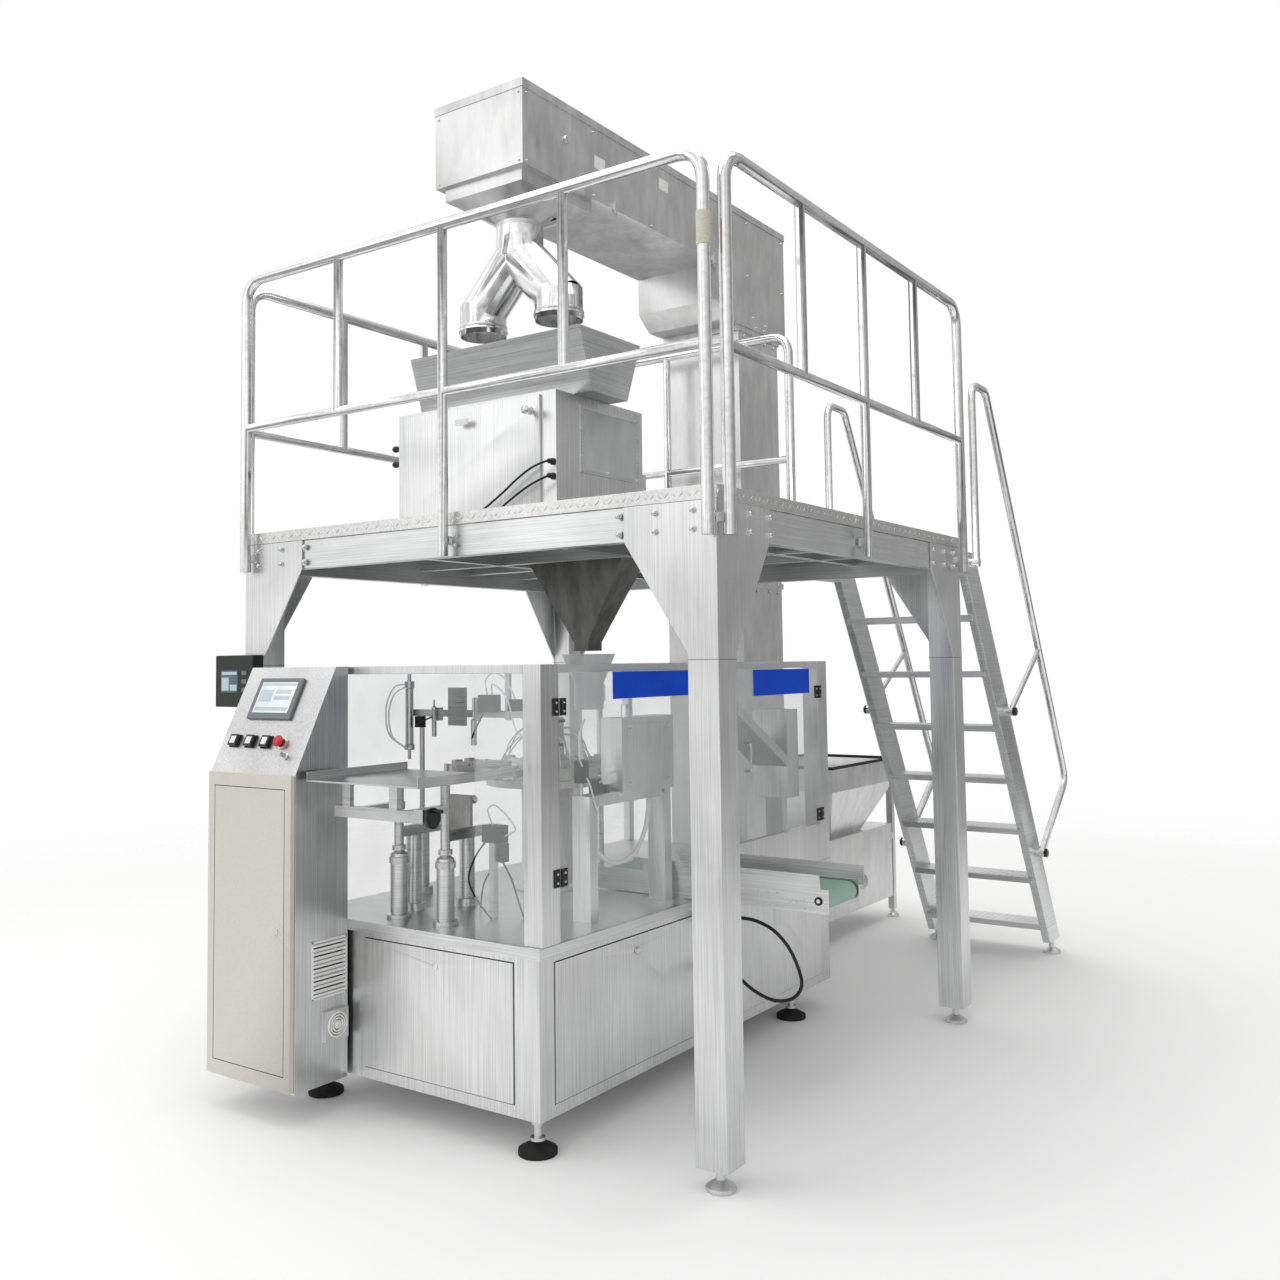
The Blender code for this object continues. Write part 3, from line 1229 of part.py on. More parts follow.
def conveyor_belt():
    """The endless belt round both rollers, whose flats stay clear of the turning rollers' corners."""
    near = CONVEYOR_NEAR + SIDE_PLATE + 0.012
    far = CONVEYOR_FAR - SIDE_PLATE - 0.012
    steps = ROLLER_FACETS // 2
    inside = (ROLLER_RADIUS + GAP) / math.cos(math.pi / ROLLER_FACETS)

    def loop(radius, y):
        points = []
        for centre, first in ((ROLLER_X[1], -90.0), (ROLLER_X[0], 90.0)):
            for i in range(steps + 1):
                angle = math.radians(first + 180.0 * i / steps)
                points.append((centre + radius * math.cos(angle), y, ROLLER_Z + radius * math.sin(angle)))
        return points

    thick = inside + BELT_THICKNESS
    belt = loft([loop(thick, near), loop(thick, far), loop(inside, far), loop(inside, near)], closed=True)
    piece("conveyor_belt", GREEN_BELT, [belt])


# Weigher on the deck


def weigher_cabinet():
    """The weigher's hollow housing on four feet, with the bucket box behind it."""
    x = (LINE_X - WEIGHER_WIDTH / 2, LINE_X + WEIGHER_WIDTH / 2)
    y = (WEIGHER_FRONT, WEIGHER_FRONT + WEIGHER_DEPTH)
    bottom = DECK_TOP + 0.05
    wall = SHEET
    top = WEIGHER_TOP
    bucket = bucket_outline()
    foot = 0.03
    shells = [box((x[0], y[0], bottom), (x[1], y[1], top))]
    shells.append(box((bucket[0][0], y[1] - 0.002, BUCKET_BOTTOM), (bucket[1][0], bucket[1][1], BUCKET_TOP)))
    for foot_x in (x[0] + 0.02, x[1] - 0.02 - foot):
        for foot_y in (y[0] + 0.02, y[1] - 0.02 - foot):
            shells.append(box((foot_x, foot_y, DECK_TOP + GAP),
                              (foot_x + foot, foot_y + foot, bottom + wall)))
    reach = 0.05
    cuts = [
        box((x[0] + wall, y[0] + wall, bottom + wall), (x[1] - wall, y[1] - wall, top - wall)),
        box((x[0] + 0.05, y[0] - reach, bottom + 0.04), (x[1] - 0.10, y[0] + reach, top - 0.03)),
        box((x[1] - reach, y[0] + 0.17, bottom + 0.17), (x[1] + reach, y[1] - 0.05, top - 0.05)),
        box((bucket[0][0] + wall, y[1] - reach, BUCKET_TOP - 0.14),
            (bucket[1][0] - wall, y[1] + reach, BUCKET_TOP - 0.02)),
        box((bucket[0][0] + wall, y[1] + wall, BUCKET_BOTTOM + wall),
            (bucket[1][0] - wall, bucket[1][1] - wall, BUCKET_TOP + reach)),
        box((bucket[0][0] + wall, GATE_Y[0], BUCKET_BOTTOM - reach),
            (bucket[1][0] - wall, GATE_Y[1], BUCKET_TOP)),
        box((x[0] + 0.10, HOPPER_FOOT_Y[0] + wall, top - reach),
            (x[1] - 0.10, HOPPER_FOOT_Y[1] - wall, top + reach)),
    ]
    piece("weigher_cabinet", BRUSHED_STEEL, shells, cuts)


GATE_Y = (FUNNEL_Y - 0.07, FUNNEL_Y + 0.075)
BUCKET_BOTTOM = DECK_TOP + 0.09
BUCKET_TOP = DECK_TOP + 0.30
HOPPER_FOOT_Y = (WEIGHER_FRONT + 0.12, WEIGHER_FRONT + 0.37)


def bucket_outline():
    half = FUNNEL_WIDTH / 2 - 0.03
    back = WEIGHER_FRONT + WEIGHER_DEPTH
    return ((LINE_X - half, back), (LINE_X + half, FUNNEL_Y + FUNNEL_DEPTH / 2 + 0.02))


def weigh_bucket_gate():
    """The flap under the weigh bucket's mouth, hinged at its back edge."""
    low, high = bucket_outline()
    z = BUCKET_BOTTOM - 0.006
    hinge_y = GATE_Y[1] + 0.005
    leaf = box((low[0] + 0.006, GATE_Y[0] - 0.005, z - 0.003), (high[0] - 0.006, hinge_y + 0.002, z))
    pin = rod((low[0] + 0.006, hinge_y, z - 0.003), (high[0] - 0.006, hinge_y, z - 0.003), 0.005, 10)
    piece("weigh_bucket_gate", BRUSHED_STEEL, [leaf, pin], pivot=(LINE_X, hinge_y, z - 0.003))


def weigher_door():
    """The weigher's front door, laid over its opening, with a round knob."""
    x0 = LINE_X - WEIGHER_WIDTH / 2 + 0.035
    x1 = LINE_X + WEIGHER_WIDTH / 2 - 0.075
    front = WEIGHER_FRONT - GAP
    low = (x0, front - 0.012, DECK_TOP + 0.07)
    high = (x1, front, WEIGHER_TOP - 0.012)
    knob_z = WEIGHER_TOP - 0.08
    knob = turned((x1 - 0.03, low[1] + 0.004, knob_z), (0, -1, 0),
                  [(0.008, 0), (0.008, 0.02), (0.017, 0.022), (0.017, 0.036)])
    piece("weigher_door", BRUSHED_STEEL, [box(low, high), knob], pivot=(low[0], low[1], low[2]))


def weigher_pans():
    """Four vibrating pans side by side on their drive block."""
    half = FUNNEL_WIDTH / 2 - 0.045
    x0 = LINE_X - half
    pan = 2 * half / 4
    y = (WEIGHER_FRONT + 0.12, GATE_Y[0] + 0.02)
    z = BUCKET_TOP - 0.115
    plate = 0.004
    rise = 0.06
    shells = [box((x0, y[0], z), (x0 + 2 * half, y[1], z + plate))]
    for i in range(5):
        wall_x = x0 + pan * i - (plate if i == 4 else 0 if i == 0 else plate / 2)
        shells.append(box((wall_x, y[0], z + plate / 2), (wall_x + plate, y[1], z + rise)))
    floor = DECK_TOP + 0.05 + SHEET + GAP
    shells.append(box((x0 + 0.03, y[0] + 0.05, floor), (x0 + 2 * half - 0.03, y[0] + 0.32, z + plate / 2)))
    piece("weigher_pans", POLISHED_STEEL, shells)


def weigher_hopper():
    """The supply trough over the pans: two sloping walls and two end plates, open below."""
    x = (LINE_X - WEIGHER_WIDTH / 2 + 0.03, LINE_X + WEIGHER_WIDTH / 2 + 0.09)
    bottom = WEIGHER_TOP + GAP
    rim = DECK_TOP + HOPPER_RIM_HEIGHT
    mouth_y = (HOPPER_FOOT_Y[0] - 0.08, HOPPER_FOOT_Y[1] + 0.10)
    wall = 0.003
    low = ((x[0], HOPPER_FOOT_Y[0]), (x[1], HOPPER_FOOT_Y[1]))
    high = ((x[0], mouth_y[0]), (x[1], mouth_y[1]))
    trough = frustum_wall(low, bottom, high, rim, wall)
    over = box((LINE_X + WEIGHER_WIDTH / 2 - 0.06, HOPPER_FOOT_Y[0] + 0.001, bottom),
               (x[1] - 0.001, HOPPER_FOOT_Y[1] - 0.001, bottom + wall))
    piece("weigher_hopper", BRUSHED_STEEL, [trough, over])


def discharge_funnel():
    """The flat funnel hung through the deck, from the weigh bucket to the filling station."""
    top = DECK_TOP - 0.06
    slot = DECK_TOP + 0.03
    hang = 0.012
    half = FUNNEL_WIDTH / 2
    deep = FUNNEL_DEPTH / 2
    spout_x = 0.04
    spout_y = 0.055
    wall = 0.003
    x, y = LINE_X, FUNNEL_Y
    spout_top = SPOUT_BOTTOM + 0.04
    px = FILL_POINT[0]

    def ring(centre_x, a, b, z):
        return rectangle((centre_x - a, y - b), (centre_x + a, y + b), z)

    outer = [ring(px, spout_x, spout_y, SPOUT_BOTTOM), ring(px, spout_x, spout_y, spout_top),
             ring(x, half, deep, top), ring(x, half, deep, slot)]
    inner = [ring(x, half - wall, deep - wall, slot), ring(x, half - wall, deep - wall, top),
             ring(px, spout_x - wall, spout_y - wall, spout_top),
             ring(px, spout_x - wall, spout_y - wall, SPOUT_BOTTOM)]
    flange_low = ((x - half - hang, y - deep - hang), (x + half + hang, y + deep + hang))
    flange = frustum_wall(flange_low, DECK_TOP + GAP, flange_low, DECK_TOP + 0.006, hang + wall / 2)
    piece("discharge_funnel", BRUSHED_STEEL, [loft(outer + inner, closed=True), flange])


# Bucket elevator


ELEVATOR_X = (LINE_X - ELEVATOR_WIDTH / 2, LINE_X + ELEVATOR_WIDTH / 2)
SHAFT_BORE = 0.016


def elevator_head():
    """The upper casing: the level run, the corner over the column and the discharge cone."""
    x = ELEVATOR_X
    wall = ELEVATOR_WALL
    lid = 0.006
    corner_front = COLUMN_FRONT - 0.14
    outline = [
        (HEAD_FRONT, HEAD_BOTTOM),
        (HEAD_FRONT, HEAD_TOP),
        (HEAD_BACK, HEAD_TOP),
        (HEAD_BACK, HEAD_CORNER_BOTTOM),
        (corner_front, HEAD_CORNER_BOTTOM),
        (corner_front - 0.10, HEAD_CORNER_BOTTOM + 0.08),
        (corner_front - 0.10, HEAD_BOTTOM),
    ]
    inner = [
        (HEAD_FRONT + wall, HEAD_BOTTOM + wall),
        (HEAD_FRONT + wall, HEAD_TOP - wall),
        (HEAD_BACK - wall, HEAD_TOP - wall),
        (HEAD_BACK - wall, HEAD_CORNER_BOTTOM + wall),
        (corner_front + wall, HEAD_CORNER_BOTTOM + wall),
        (corner_front - 0.10 + wall, HEAD_CORNER_BOTTOM + 0.08 + wall),
        (corner_front - 0.10 + wall, HEAD_BOTTOM + wall),
    ]
    rim = 0.055
    neck = DUCT_TOP + GAP
    skirt_low = (x[0] + 0.03, HEAD_FRONT + 0.03)
    skirt_high = (x[1] - 0.03, 2 * DUCT_Y - HEAD_FRONT - 0.03)
    sides = 16
    skirt = box((*skirt_low, HEAD_BOTTOM - rim), (*skirt_high, HEAD_BOTTOM + wall / 2))
    half_x = (skirt_high[0] - skirt_low[0]) / 2
    half_y = (skirt_high[1] - skirt_low[1]) / 2

    def square_ring(shrink, z):
        points = []
        for i in range(sides):
            angle = 2 * math.pi * i / sides
            reach = 1 / max(abs(math.cos(angle)), abs(math.sin(angle)))
            points.append((
                LINE_X + (half_x - shrink) * reach * math.cos(angle),
                DUCT_Y + (half_y - shrink) * reach * math.sin(angle),
                z,
            ))
        return points

    def round_ring(radius, z):
        return [(LINE_X + radius * math.cos(2 * math.pi * i / sides),
                 DUCT_Y + radius * math.sin(2 * math.pi * i / sides), z) for i in range(sides)]

    cone_top = HEAD_BOTTOM - rim + 0.003
    cone = loft([round_ring(DUCT_RADIUS, neck), round_ring(DUCT_RADIUS, neck + 0.02),
                 square_ring(0.001, cone_top)])
    room = loft([round_ring(DUCT_RADIUS - wall, neck - 0.01), round_ring(DUCT_RADIUS - wall, neck + 0.026),
                 square_ring(3 * wall, cone_top + 0.003), square_ring(3 * wall, HEAD_BOTTOM + 2 * wall)])
    shells = [prism(outline, "x", *x), skirt, cone]
    shells.append(box((x[0] - 0.004, HEAD_FRONT - 0.004, HEAD_TOP - 0.03),
                      (x[1] + 0.004, HEAD_BACK + 0.004, HEAD_TOP + lid)))
    cuts = [
        prism(inner, "x", x[0] + wall, x[1] - wall),
        room,
        box((x[0] + 0.03, COLUMN_FRONT + 0.01, HEAD_CORNER_BOTTOM - 0.05),
            (x[1] - 0.03, COLUMN_BACK - 0.01, HEAD_CORNER_BOTTOM + 0.05)),
        rod((x[0] - 0.1, *HEAD_SHAFT), (x[1] + 0.1, *HEAD_SHAFT), SHAFT_BORE + RUNNING_GAP / 2, 12),
    ]
    piece("elevator_head", BRUSHED_STEEL, shells, cuts)


HEAD_SHAFT = (DUCT_Y + 0.02, HEAD_BOTTOM + 0.20)


def elevator_head_shaft():
    """The upper shaft with its two chain wheels and the drive wheel outside the casing."""
    y, z = HEAD_SHAFT
    wheel = 0.11
    inner = 0.06
    span = ELEVATOR_X[1] - ELEVATOR_X[0]
    profile = [
        (SHAFT_BORE, -0.035),
        (SHAFT_BORE, inner),
        (wheel, inner),
        (wheel, inner + 0.02),
        (SHAFT_BORE, inner + 0.02),
        (SHAFT_BORE, span - inner - 0.02),
        (wheel, span - inner - 0.02),
        (wheel, span - inner),
        (SHAFT_BORE, span - inner),
        (SHAFT_BORE, span + 0.012),
    ]
    piece("elevator_head_shaft", POLISHED_STEEL, [turned((ELEVATOR_X[0], y, z), (1, 0, 0), profile, 16)],
          pivot=(ELEVATOR_X[0], y, z))


def elevator_column():
    """The upright casing between the boot and the head, open at both ends."""
    inset = 0.012
    x = (ELEVATOR_X[0] + inset, ELEVATOR_X[1] - inset)
    y = (COLUMN_FRONT, COLUMN_BACK)
    z = (BOOT_TOP + GAP, HEAD_CORNER_BOTTOM - GAP)
    wall = ELEVATOR_WALL
    outline = ((x[0], y[0]), (x[1], y[1]))
    shells = [frustum_wall(outline, z[0], outline, z[1], wall)]
    flange = 0.012
    wide = ((x[0] - flange / 2, y[0] - flange), (x[1] + flange / 2, y[1] + flange))
    for level in (z[0], 2.05, z[1] - 0.03):
        shells.append(frustum_wall(wide, level, wide, level + 0.03, flange / 2 + wall / 2))
    piece("elevator_column", BRUSHED_STEEL, shells)


def elevator_boot():
    """The lower casing on its legs, with the infeed hopper over its far end."""
    x = ELEVATOR_X
    wall = ELEVATOR_WALL
    y = (COLUMN_FRONT - 0.06, BOOT_END - 0.06)
    hopper_low = ((x[0] + 0.05, 3.35), (x[1] - 0.05, 3.78))
    hopper_high = ((x[0] - 0.06, 3.16), (x[1] + 0.06, 4.08))
    rim = 1.03
    shells = [box((x[0], y[0], BOOT_BOTTOM), (x[1], y[1], BOOT_TOP))]
    shells.append(frustum_wall(hopper_low, BOOT_TOP - 0.002, hopper_high, rim - 0.14, wall))
    shells.append(frustum_wall(hopper_high, rim - 0.143, hopper_high, rim, wall))
    leg = 0.04
    for leg_x in (x[0] + 0.002, x[1] - leg - 0.002):
        for leg_y, top in ((y[0] + 0.10, BOOT_BOTTOM + wall), (BOOT_END - leg, 0.94)):
            shells.append(box((leg_x, leg_y, 0.05), (leg_x + leg, leg_y + leg, top)))
            shells.append(levelling_foot(leg_x + leg / 2, leg_y + leg / 2, 0.06, 0.04))
        shells.append(box((leg_x, y[1] - 0.01, 0.50), (leg_x + leg, BOOT_END - 0.01, 0.54)))
    cuts = [
        box((x[0] + wall, y[0] + wall, BOOT_BOTTOM + wall), (x[1] - wall, y[1] - wall, BOOT_TOP - wall)),
        box((x[0] + 0.03, COLUMN_FRONT + 0.01, BOOT_TOP - 0.05),
            (x[1] - 0.03, COLUMN_BACK - 0.01, BOOT_TOP + 0.05)),
        box((hopper_low[0][0] + wall, hopper_low[0][1] + wall, BOOT_TOP - 0.05),
            (hopper_low[1][0] - wall, hopper_low[1][1] - wall, BOOT_TOP + 0.01)),
    ]
    piece("elevator_boot", BRUSHED_STEEL, shells, cuts)


def y_duct():
    """The forked duct from the discharge cone to the weigher's hopper."""
    x, y = LINE_X, DUCT_Y
    r = DUCT_RADIUS
    wall = 0.003
    neck = DUCT_TOP - 0.11
    elbow = DUCT_BOTTOM + 0.11
    flange = 0.006

    def legs(radius, extend):
        shells = [rod((x, y, neck - 0.02), (x, y, DUCT_TOP + extend), radius, ROUND_SIDES)]
        for hand in (-1, 1):
            foot = Vector((x + hand * DUCT_SPREAD, y, elbow))
            root = Vector((x, y, neck))
            along = (foot - root).normalized()
            shells.append(rod(root - along * 0.03, foot + along * 0.03, radius * (0.96 + 0.003 * hand),
                              ROUND_SIDES))
            shells.append(rod((foot.x, y, DUCT_BOTTOM - extend), (foot.x, y, elbow + 0.03), radius,
                              ROUND_SIDES))
        return shells

    outer = legs(r, 0.0)
    for hand in (-1, 1):
        centre = x + hand * DUCT_SPREAD
        outer.append(rod((centre, y, DUCT_BOTTOM + 0.02), (centre, y, DUCT_BOTTOM + 0.03), r + flange,
                         ROUND_SIDES))
    piece("y_duct", POLISHED_STEEL, outer, legs(r - wall, 0.02))


# Power cable


def smooth(points, count):
    """Points along a smooth curve through the given ones."""
    points = [Vector(point) for point in points]
    ends = [2 * points[0] - points[1], *points, 2 * points[-1] - points[-2]]
    path = []
    for i in range(count):
        place = i * (len(points) - 1) / (count - 1)
        k = min(int(place), len(points) - 2)
        t = place - k
        a, b, c, d = ends[k : k + 4]
        path.append(0.5 * (2 * b + (c - a) * t + (2 * a - 5 * b + 4 * c - d) * t**2 + (3 * b - a - 3 * c + d) * t**3))
    return path


CABLE_RADIUS = 0.007
GLAND_RADIUS = 0.012
GLAND_LENGTH = 0.025
CABLE_ROUTE = [
    (JUNCTION_X[1] + GLAND_LENGTH + GAP, 0.985, 0.628),
    (-0.470, 0.985, 0.628),
    (-0.420, 0.982, 0.624),
    (-0.345, 0.975, 0.600),
    (-0.280, 0.972, 0.545),
    (-0.240, 0.975, 0.470),
    (-0.228, 0.980, 0.400),
    (-0.270, 0.985, 0.345),
    (-0.350, 0.985, 0.325),
    (-0.440, 0.985, 0.350),
    (-0.515, 0.985, 0.396),
    (-0.570, 0.985, 0.420),
    (-0.603, 0.985, 0.422),
    (BASE_RIGHT + GLAND_LENGTH + GAP, 0.985, 0.422),
]


def power_cable():
    """The drive's cable, from under the conveyor down and back to the base."""
    count = 40
    curve = bpy.data.curves.new("power_cable", "CURVE")
    curve.dimensions = "3D"
    curve.bevel_depth = CABLE_RADIUS
    curve.bevel_resolution = 2
    curve.use_fill_caps = True
    spline = curve.splines.new("POLY")
    spline.points.add(count - 1)
    for point, place in zip(spline.points, smooth(CABLE_ROUTE, count)):
        point.co = (*place, 1.0)
    made = bpy.data.objects.new("power_cable", curve)
    bpy.context.scene.collection.objects.link(made)
    curve.materials.append(material_of("power_cable", BLACK_RUBBER))


def stand_on_origin():
    """Moves every piece, so that the origin is on the floor at the centre of the footprint."""
    bpy.context.view_layer.update()
    graph = bpy.context.evaluated_depsgraph_get()
    corners = []
    for obj in bpy.data.objects:
        found = obj.evaluated_get(graph)
        if obj.name != "power_cable":
            corners += [found.matrix_world @ Vector(corner) for corner in found.bound_box]
    shift = Vector((
        -(min(c.x for c in corners) + max(c.x for c in corners)) / 2,
        -(min(c.y for c in corners) + max(c.y for c in corners)) / 2,
        -min(c.z for c in corners),
    ))
    for obj in bpy.data.objects:
        obj.location += shift


def build():
    for obj in list(bpy.data.objects):
        bpy.data.objects.remove(obj)
    platform_leg("platform_leg_front_right", True, True)
    platform_leg("platform_leg_front_left", False, True)
    platform_leg("platform_leg_rear_right", True, False)
    platform_leg("platform_leg_rear_left", False, False)
    for make in (
        platform_frame, platform_deck, handrails, stair, stair_rails,
        base_cabinet, base_doors, base_feet, worktop, indexing_drive,
        guard_frame, guard_doors,
        control_cabinet, control_cabinet_door, operator_controls, remote_screen,
        carousel_pedestal, carousel_turntable,
        bag_magazine, magazine_handwheel, bag_pick_arm, fill_funnel, seal_unit, seal_jaw, reject_chute,
        conveyor_frame, conveyor_rollers, conveyor_belt,
        weigher_cabinet, weigh_bucket_gate, weigher_door, weigher_pans, weigher_hopper, discharge_funnel,
        elevator_head, elevator_head_shaft, elevator_column, elevator_boot, y_duct,
        power_cable,
    ):
        make()
    stand_on_origin()


build()
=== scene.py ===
import json
import math

import bmesh
import bpy
from mathutils import Matrix, Vector


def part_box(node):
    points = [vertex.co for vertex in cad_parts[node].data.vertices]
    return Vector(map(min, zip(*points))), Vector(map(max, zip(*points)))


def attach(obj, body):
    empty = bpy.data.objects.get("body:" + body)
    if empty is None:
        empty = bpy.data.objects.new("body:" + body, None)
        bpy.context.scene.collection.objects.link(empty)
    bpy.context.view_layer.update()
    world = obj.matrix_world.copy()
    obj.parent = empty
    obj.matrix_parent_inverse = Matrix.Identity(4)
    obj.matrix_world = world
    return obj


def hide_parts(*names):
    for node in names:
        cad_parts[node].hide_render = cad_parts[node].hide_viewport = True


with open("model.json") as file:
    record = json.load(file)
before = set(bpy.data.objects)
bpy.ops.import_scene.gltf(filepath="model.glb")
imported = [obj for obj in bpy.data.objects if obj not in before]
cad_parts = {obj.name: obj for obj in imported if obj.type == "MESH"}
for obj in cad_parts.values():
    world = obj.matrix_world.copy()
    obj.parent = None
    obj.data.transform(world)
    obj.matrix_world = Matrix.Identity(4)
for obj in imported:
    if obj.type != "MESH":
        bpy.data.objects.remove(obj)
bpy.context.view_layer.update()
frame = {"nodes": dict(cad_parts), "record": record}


# Camera, light and floor
# A pale studio: a broad soft key from the operator's side, a dimmer wall behind the stair, and a
# pale floor. Everything is laid out from the platform's front right corner on the floor.

deck_low, deck_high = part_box("platform_deck")
corner = Vector((deck_high.x, deck_low.y, 0.0))
body_of = {n: b for b, names in frame["record"]["behaviour"]["bodies"].items() for n in names}


def at(x, y, z):
    """A point given from the platform's front right corner on the floor."""
    return corner + Vector((x, y, z))


# The ways that a fitted part can face
UP, TO_RIGHT, TO_LEFT = (0, 0, 1), (1, 0, 0), (-1, 0, 0)
TO_FRONT, TO_BACK = (0, -1, 0), (0, 1, 0)


def placed(name, data):
    """An object of the data, in the scene."""
    made = bpy.data.objects.new(name, data)
    bpy.context.scene.collection.objects.link(made)
    return made


def add(tree, kind, values=None, **settings):
    """Adds one node. A value that is a socket is linked, and any other is set on the input."""
    node = tree.nodes.new(kind)
    for name, value in settings.items():
        setattr(node, name, value)
    for name, value in (values or {}).items():
        if isinstance(value, bpy.types.NodeSocket):
            tree.links.new(value, node.inputs[name])
        else:
            node.inputs[name].default_value = value
    return node


def linear(code):
    """An sRGB hex colour as linear red, green, blue and alpha."""
    parts = [int(code[i : i + 2], 16) / 255 for i in (1, 3, 5)]
    return (*(c / 12.92 if c <= 0.04045 else ((c + 0.055) / 1.055) ** 2.4 for c in parts), 1.0)


FRONT_WALL, BACK_WALL, CEILING = 1.26, 0.46, 1.3
VIEW_TURN = math.radians(35.23)
VIEW_RISE = math.radians(3.52)
VIEW_ROLL = math.radians(-0.68)
ahead = Vector((-math.sin(VIEW_TURN) * math.cos(VIEW_RISE), math.cos(VIEW_TURN) * math.cos(VIEW_RISE),
                math.sin(VIEW_RISE)))
level = Vector((math.cos(VIEW_TURN), math.sin(VIEW_TURN), 0.0))
rise = level.cross(ahead)
across = math.cos(VIEW_ROLL) * level + math.sin(VIEW_ROLL) * rise
upward = -math.sin(VIEW_ROLL) * level + math.cos(VIEW_ROLL) * rise
camera_data = bpy.data.cameras.new("studio_camera")
camera_data.sensor_width = 36.0
camera_data.lens = 33.98
camera_data.shift_x = 0.0206
camera_data.shift_y = -0.0397
camera_data.clip_end = 60.0
camera = placed("studio_camera", camera_data)
turn = Matrix((across, upward, -ahead)).transposed()
camera.matrix_world = Matrix.Translation(at(1.933, -3.307, 1.65)) @ turn.to_4x4()
bpy.context.scene.camera = camera
bpy.context.scene.view_settings.view_transform = "Standard"

world = bpy.data.worlds.new("studio")
bpy.context.scene.world = world
world.use_nodes = True
sky = world.node_tree
sky.nodes.clear()
heading = add(sky, "ShaderNodeTexCoord").outputs["Generated"]
facing = add(sky, "ShaderNodeSeparateXYZ", {0: heading})
side = add(sky, "ShaderNodeMath", {0: facing.outputs["X"], 1: 0.42}, operation="MULTIPLY")
front = add(sky, "ShaderNodeMath", {0: facing.outputs["Y"], 1: 0.34, 2: side.outputs[0]},
            operation="MULTIPLY_ADD")
wall = add(sky, "ShaderNodeMapRange", {0: front.outputs[0], 1: -0.46, 2: 0.46, 3: FRONT_WALL,
                                       4: BACK_WALL})
over = add(sky, "ShaderNodeMapRange", {0: facing.outputs["Z"], 1: 0.0, 2: 1.0, 3: 1.0, 4: CEILING})
under = add(sky, "ShaderNodeMapRange", {0: facing.outputs["Z"], 1: -0.25, 2: 0.0, 3: 0.35, 4: 1.0})
hall = add(sky, "ShaderNodeTexNoise", {
    "Vector": add(sky, "ShaderNodeMapping", {"Vector": heading, "Scale": (3.2, 3.2, 0.9)}).outputs[0],
    "Scale": 1.0, "Detail": 1.5})
uneven = add(sky, "ShaderNodeMapRange", {0: hall.outputs[0], 1: 0.36, 2: 0.62, 3: 0.60, 4: 1.10})
strength = wall.outputs[0]
for part in (over, under, uneven):
    product = add(sky, "ShaderNodeMath", {0: strength, 1: part.outputs[0]}, operation="MULTIPLY")
    strength = product.outputs[0]
lit = add(sky, "ShaderNodeBackground", {"Color": linear("#fdfdfc"), "Strength": strength})
seen = add(sky, "ShaderNodeBackground", {"Color": (1.0, 1.0, 1.0, 1.0), "Strength": 1.0})
direct = add(sky, "ShaderNodeLightPath")
both = add(sky, "ShaderNodeMixShader", {0: direct.outputs["Is Camera Ray"], 1: lit.outputs[0],
                                        2: seen.outputs[0]})
add(sky, "ShaderNodeOutputWorld", {0: both.outputs[0]})


def soft_light(name, place, aim, width, height, watts):
    """A rectangular light at a place, turned to its aim."""
    data = bpy.data.lights.new(name, "AREA")
    data.shape = "RECTANGLE"
    data.size, data.size_y, data.energy = width, height, watts
    towards = (aim - place).to_track_quat("-Z", "Y").to_matrix().to_4x4()
    placed(name, data).matrix_world = Matrix.Translation(place) @ towards


soft_light("key_panel", at(-4.6, -5.2, 4.6), at(-1.2, 1.0, 1.6), 4.0, 3.2, 25)
soft_light("top_panel", at(-1.2, 0.6, 7.4), at(-1.2, 0.9, 0.0), 5.0, 5.0, 170)

FLOOR_REACH, FLOOR_DROP = 90.0, -0.0005
FADE_FROM, FADE_TO = 3.2, 9.0
floor_data = bpy.data.meshes.new("studio_floor")
floor_data.from_pydata([at(x * FLOOR_REACH, y * FLOOR_REACH, FLOOR_DROP)
                        for x, y in ((-1, -1), (1, -1), (1, 1), (-1, 1))], [], [(0, 1, 2, 3)])
studio_floor = placed("studio_floor", floor_data)
paint = bpy.data.materials.new("floor_paint")
paint.use_nodes = True
matt = paint.node_tree.nodes["Principled BSDF"]
matt.inputs["Base Color"].default_value = linear("#f6f6f6")
matt.inputs["Roughness"].default_value = 0.9
reach = add(paint.node_tree, "ShaderNodeVectorMath", {
    0: add(paint.node_tree, "ShaderNodeTexCoord").outputs["Object"]}, operation="LENGTH")
edge_fade = add(paint.node_tree, "ShaderNodeMapRange", {
    0: reach.outputs["Value"], 1: FADE_FROM, 2: FADE_TO, 3: 1.0, 4: 0.0}, interpolation_type="SMOOTHSTEP")
paint.node_tree.links.new(edge_fade.outputs[0], matt.inputs["Alpha"])
floor_data.materials.append(paint)


# Belt motor cable
# A 14 mm rubber-sheathed lead from the terminal box under the conveyor, hanging in one loop and
# back through a gland into the machine base. Both ends go into the object.

CABLE_DIAMETER = 0.014
GAP = 0.0003
cable_points = [
    at(-0.505 + GAP, 0.985, 0.628), at(-0.470, 0.985, 0.628), at(-0.420, 0.982, 0.624),
    at(-0.345, 0.975, 0.600), at(-0.280, 0.972, 0.545), at(-0.240, 0.975, 0.470),
    at(-0.228, 0.980, 0.400), at(-0.270, 0.985, 0.345), at(-0.350, 0.985, 0.325),
    at(-0.440, 0.985, 0.350), at(-0.515, 0.985, 0.396), at(-0.570, 0.985, 0.420),
    at(-0.603, 0.985, 0.422), at(-0.630 + GAP, 0.985, 0.422),
]


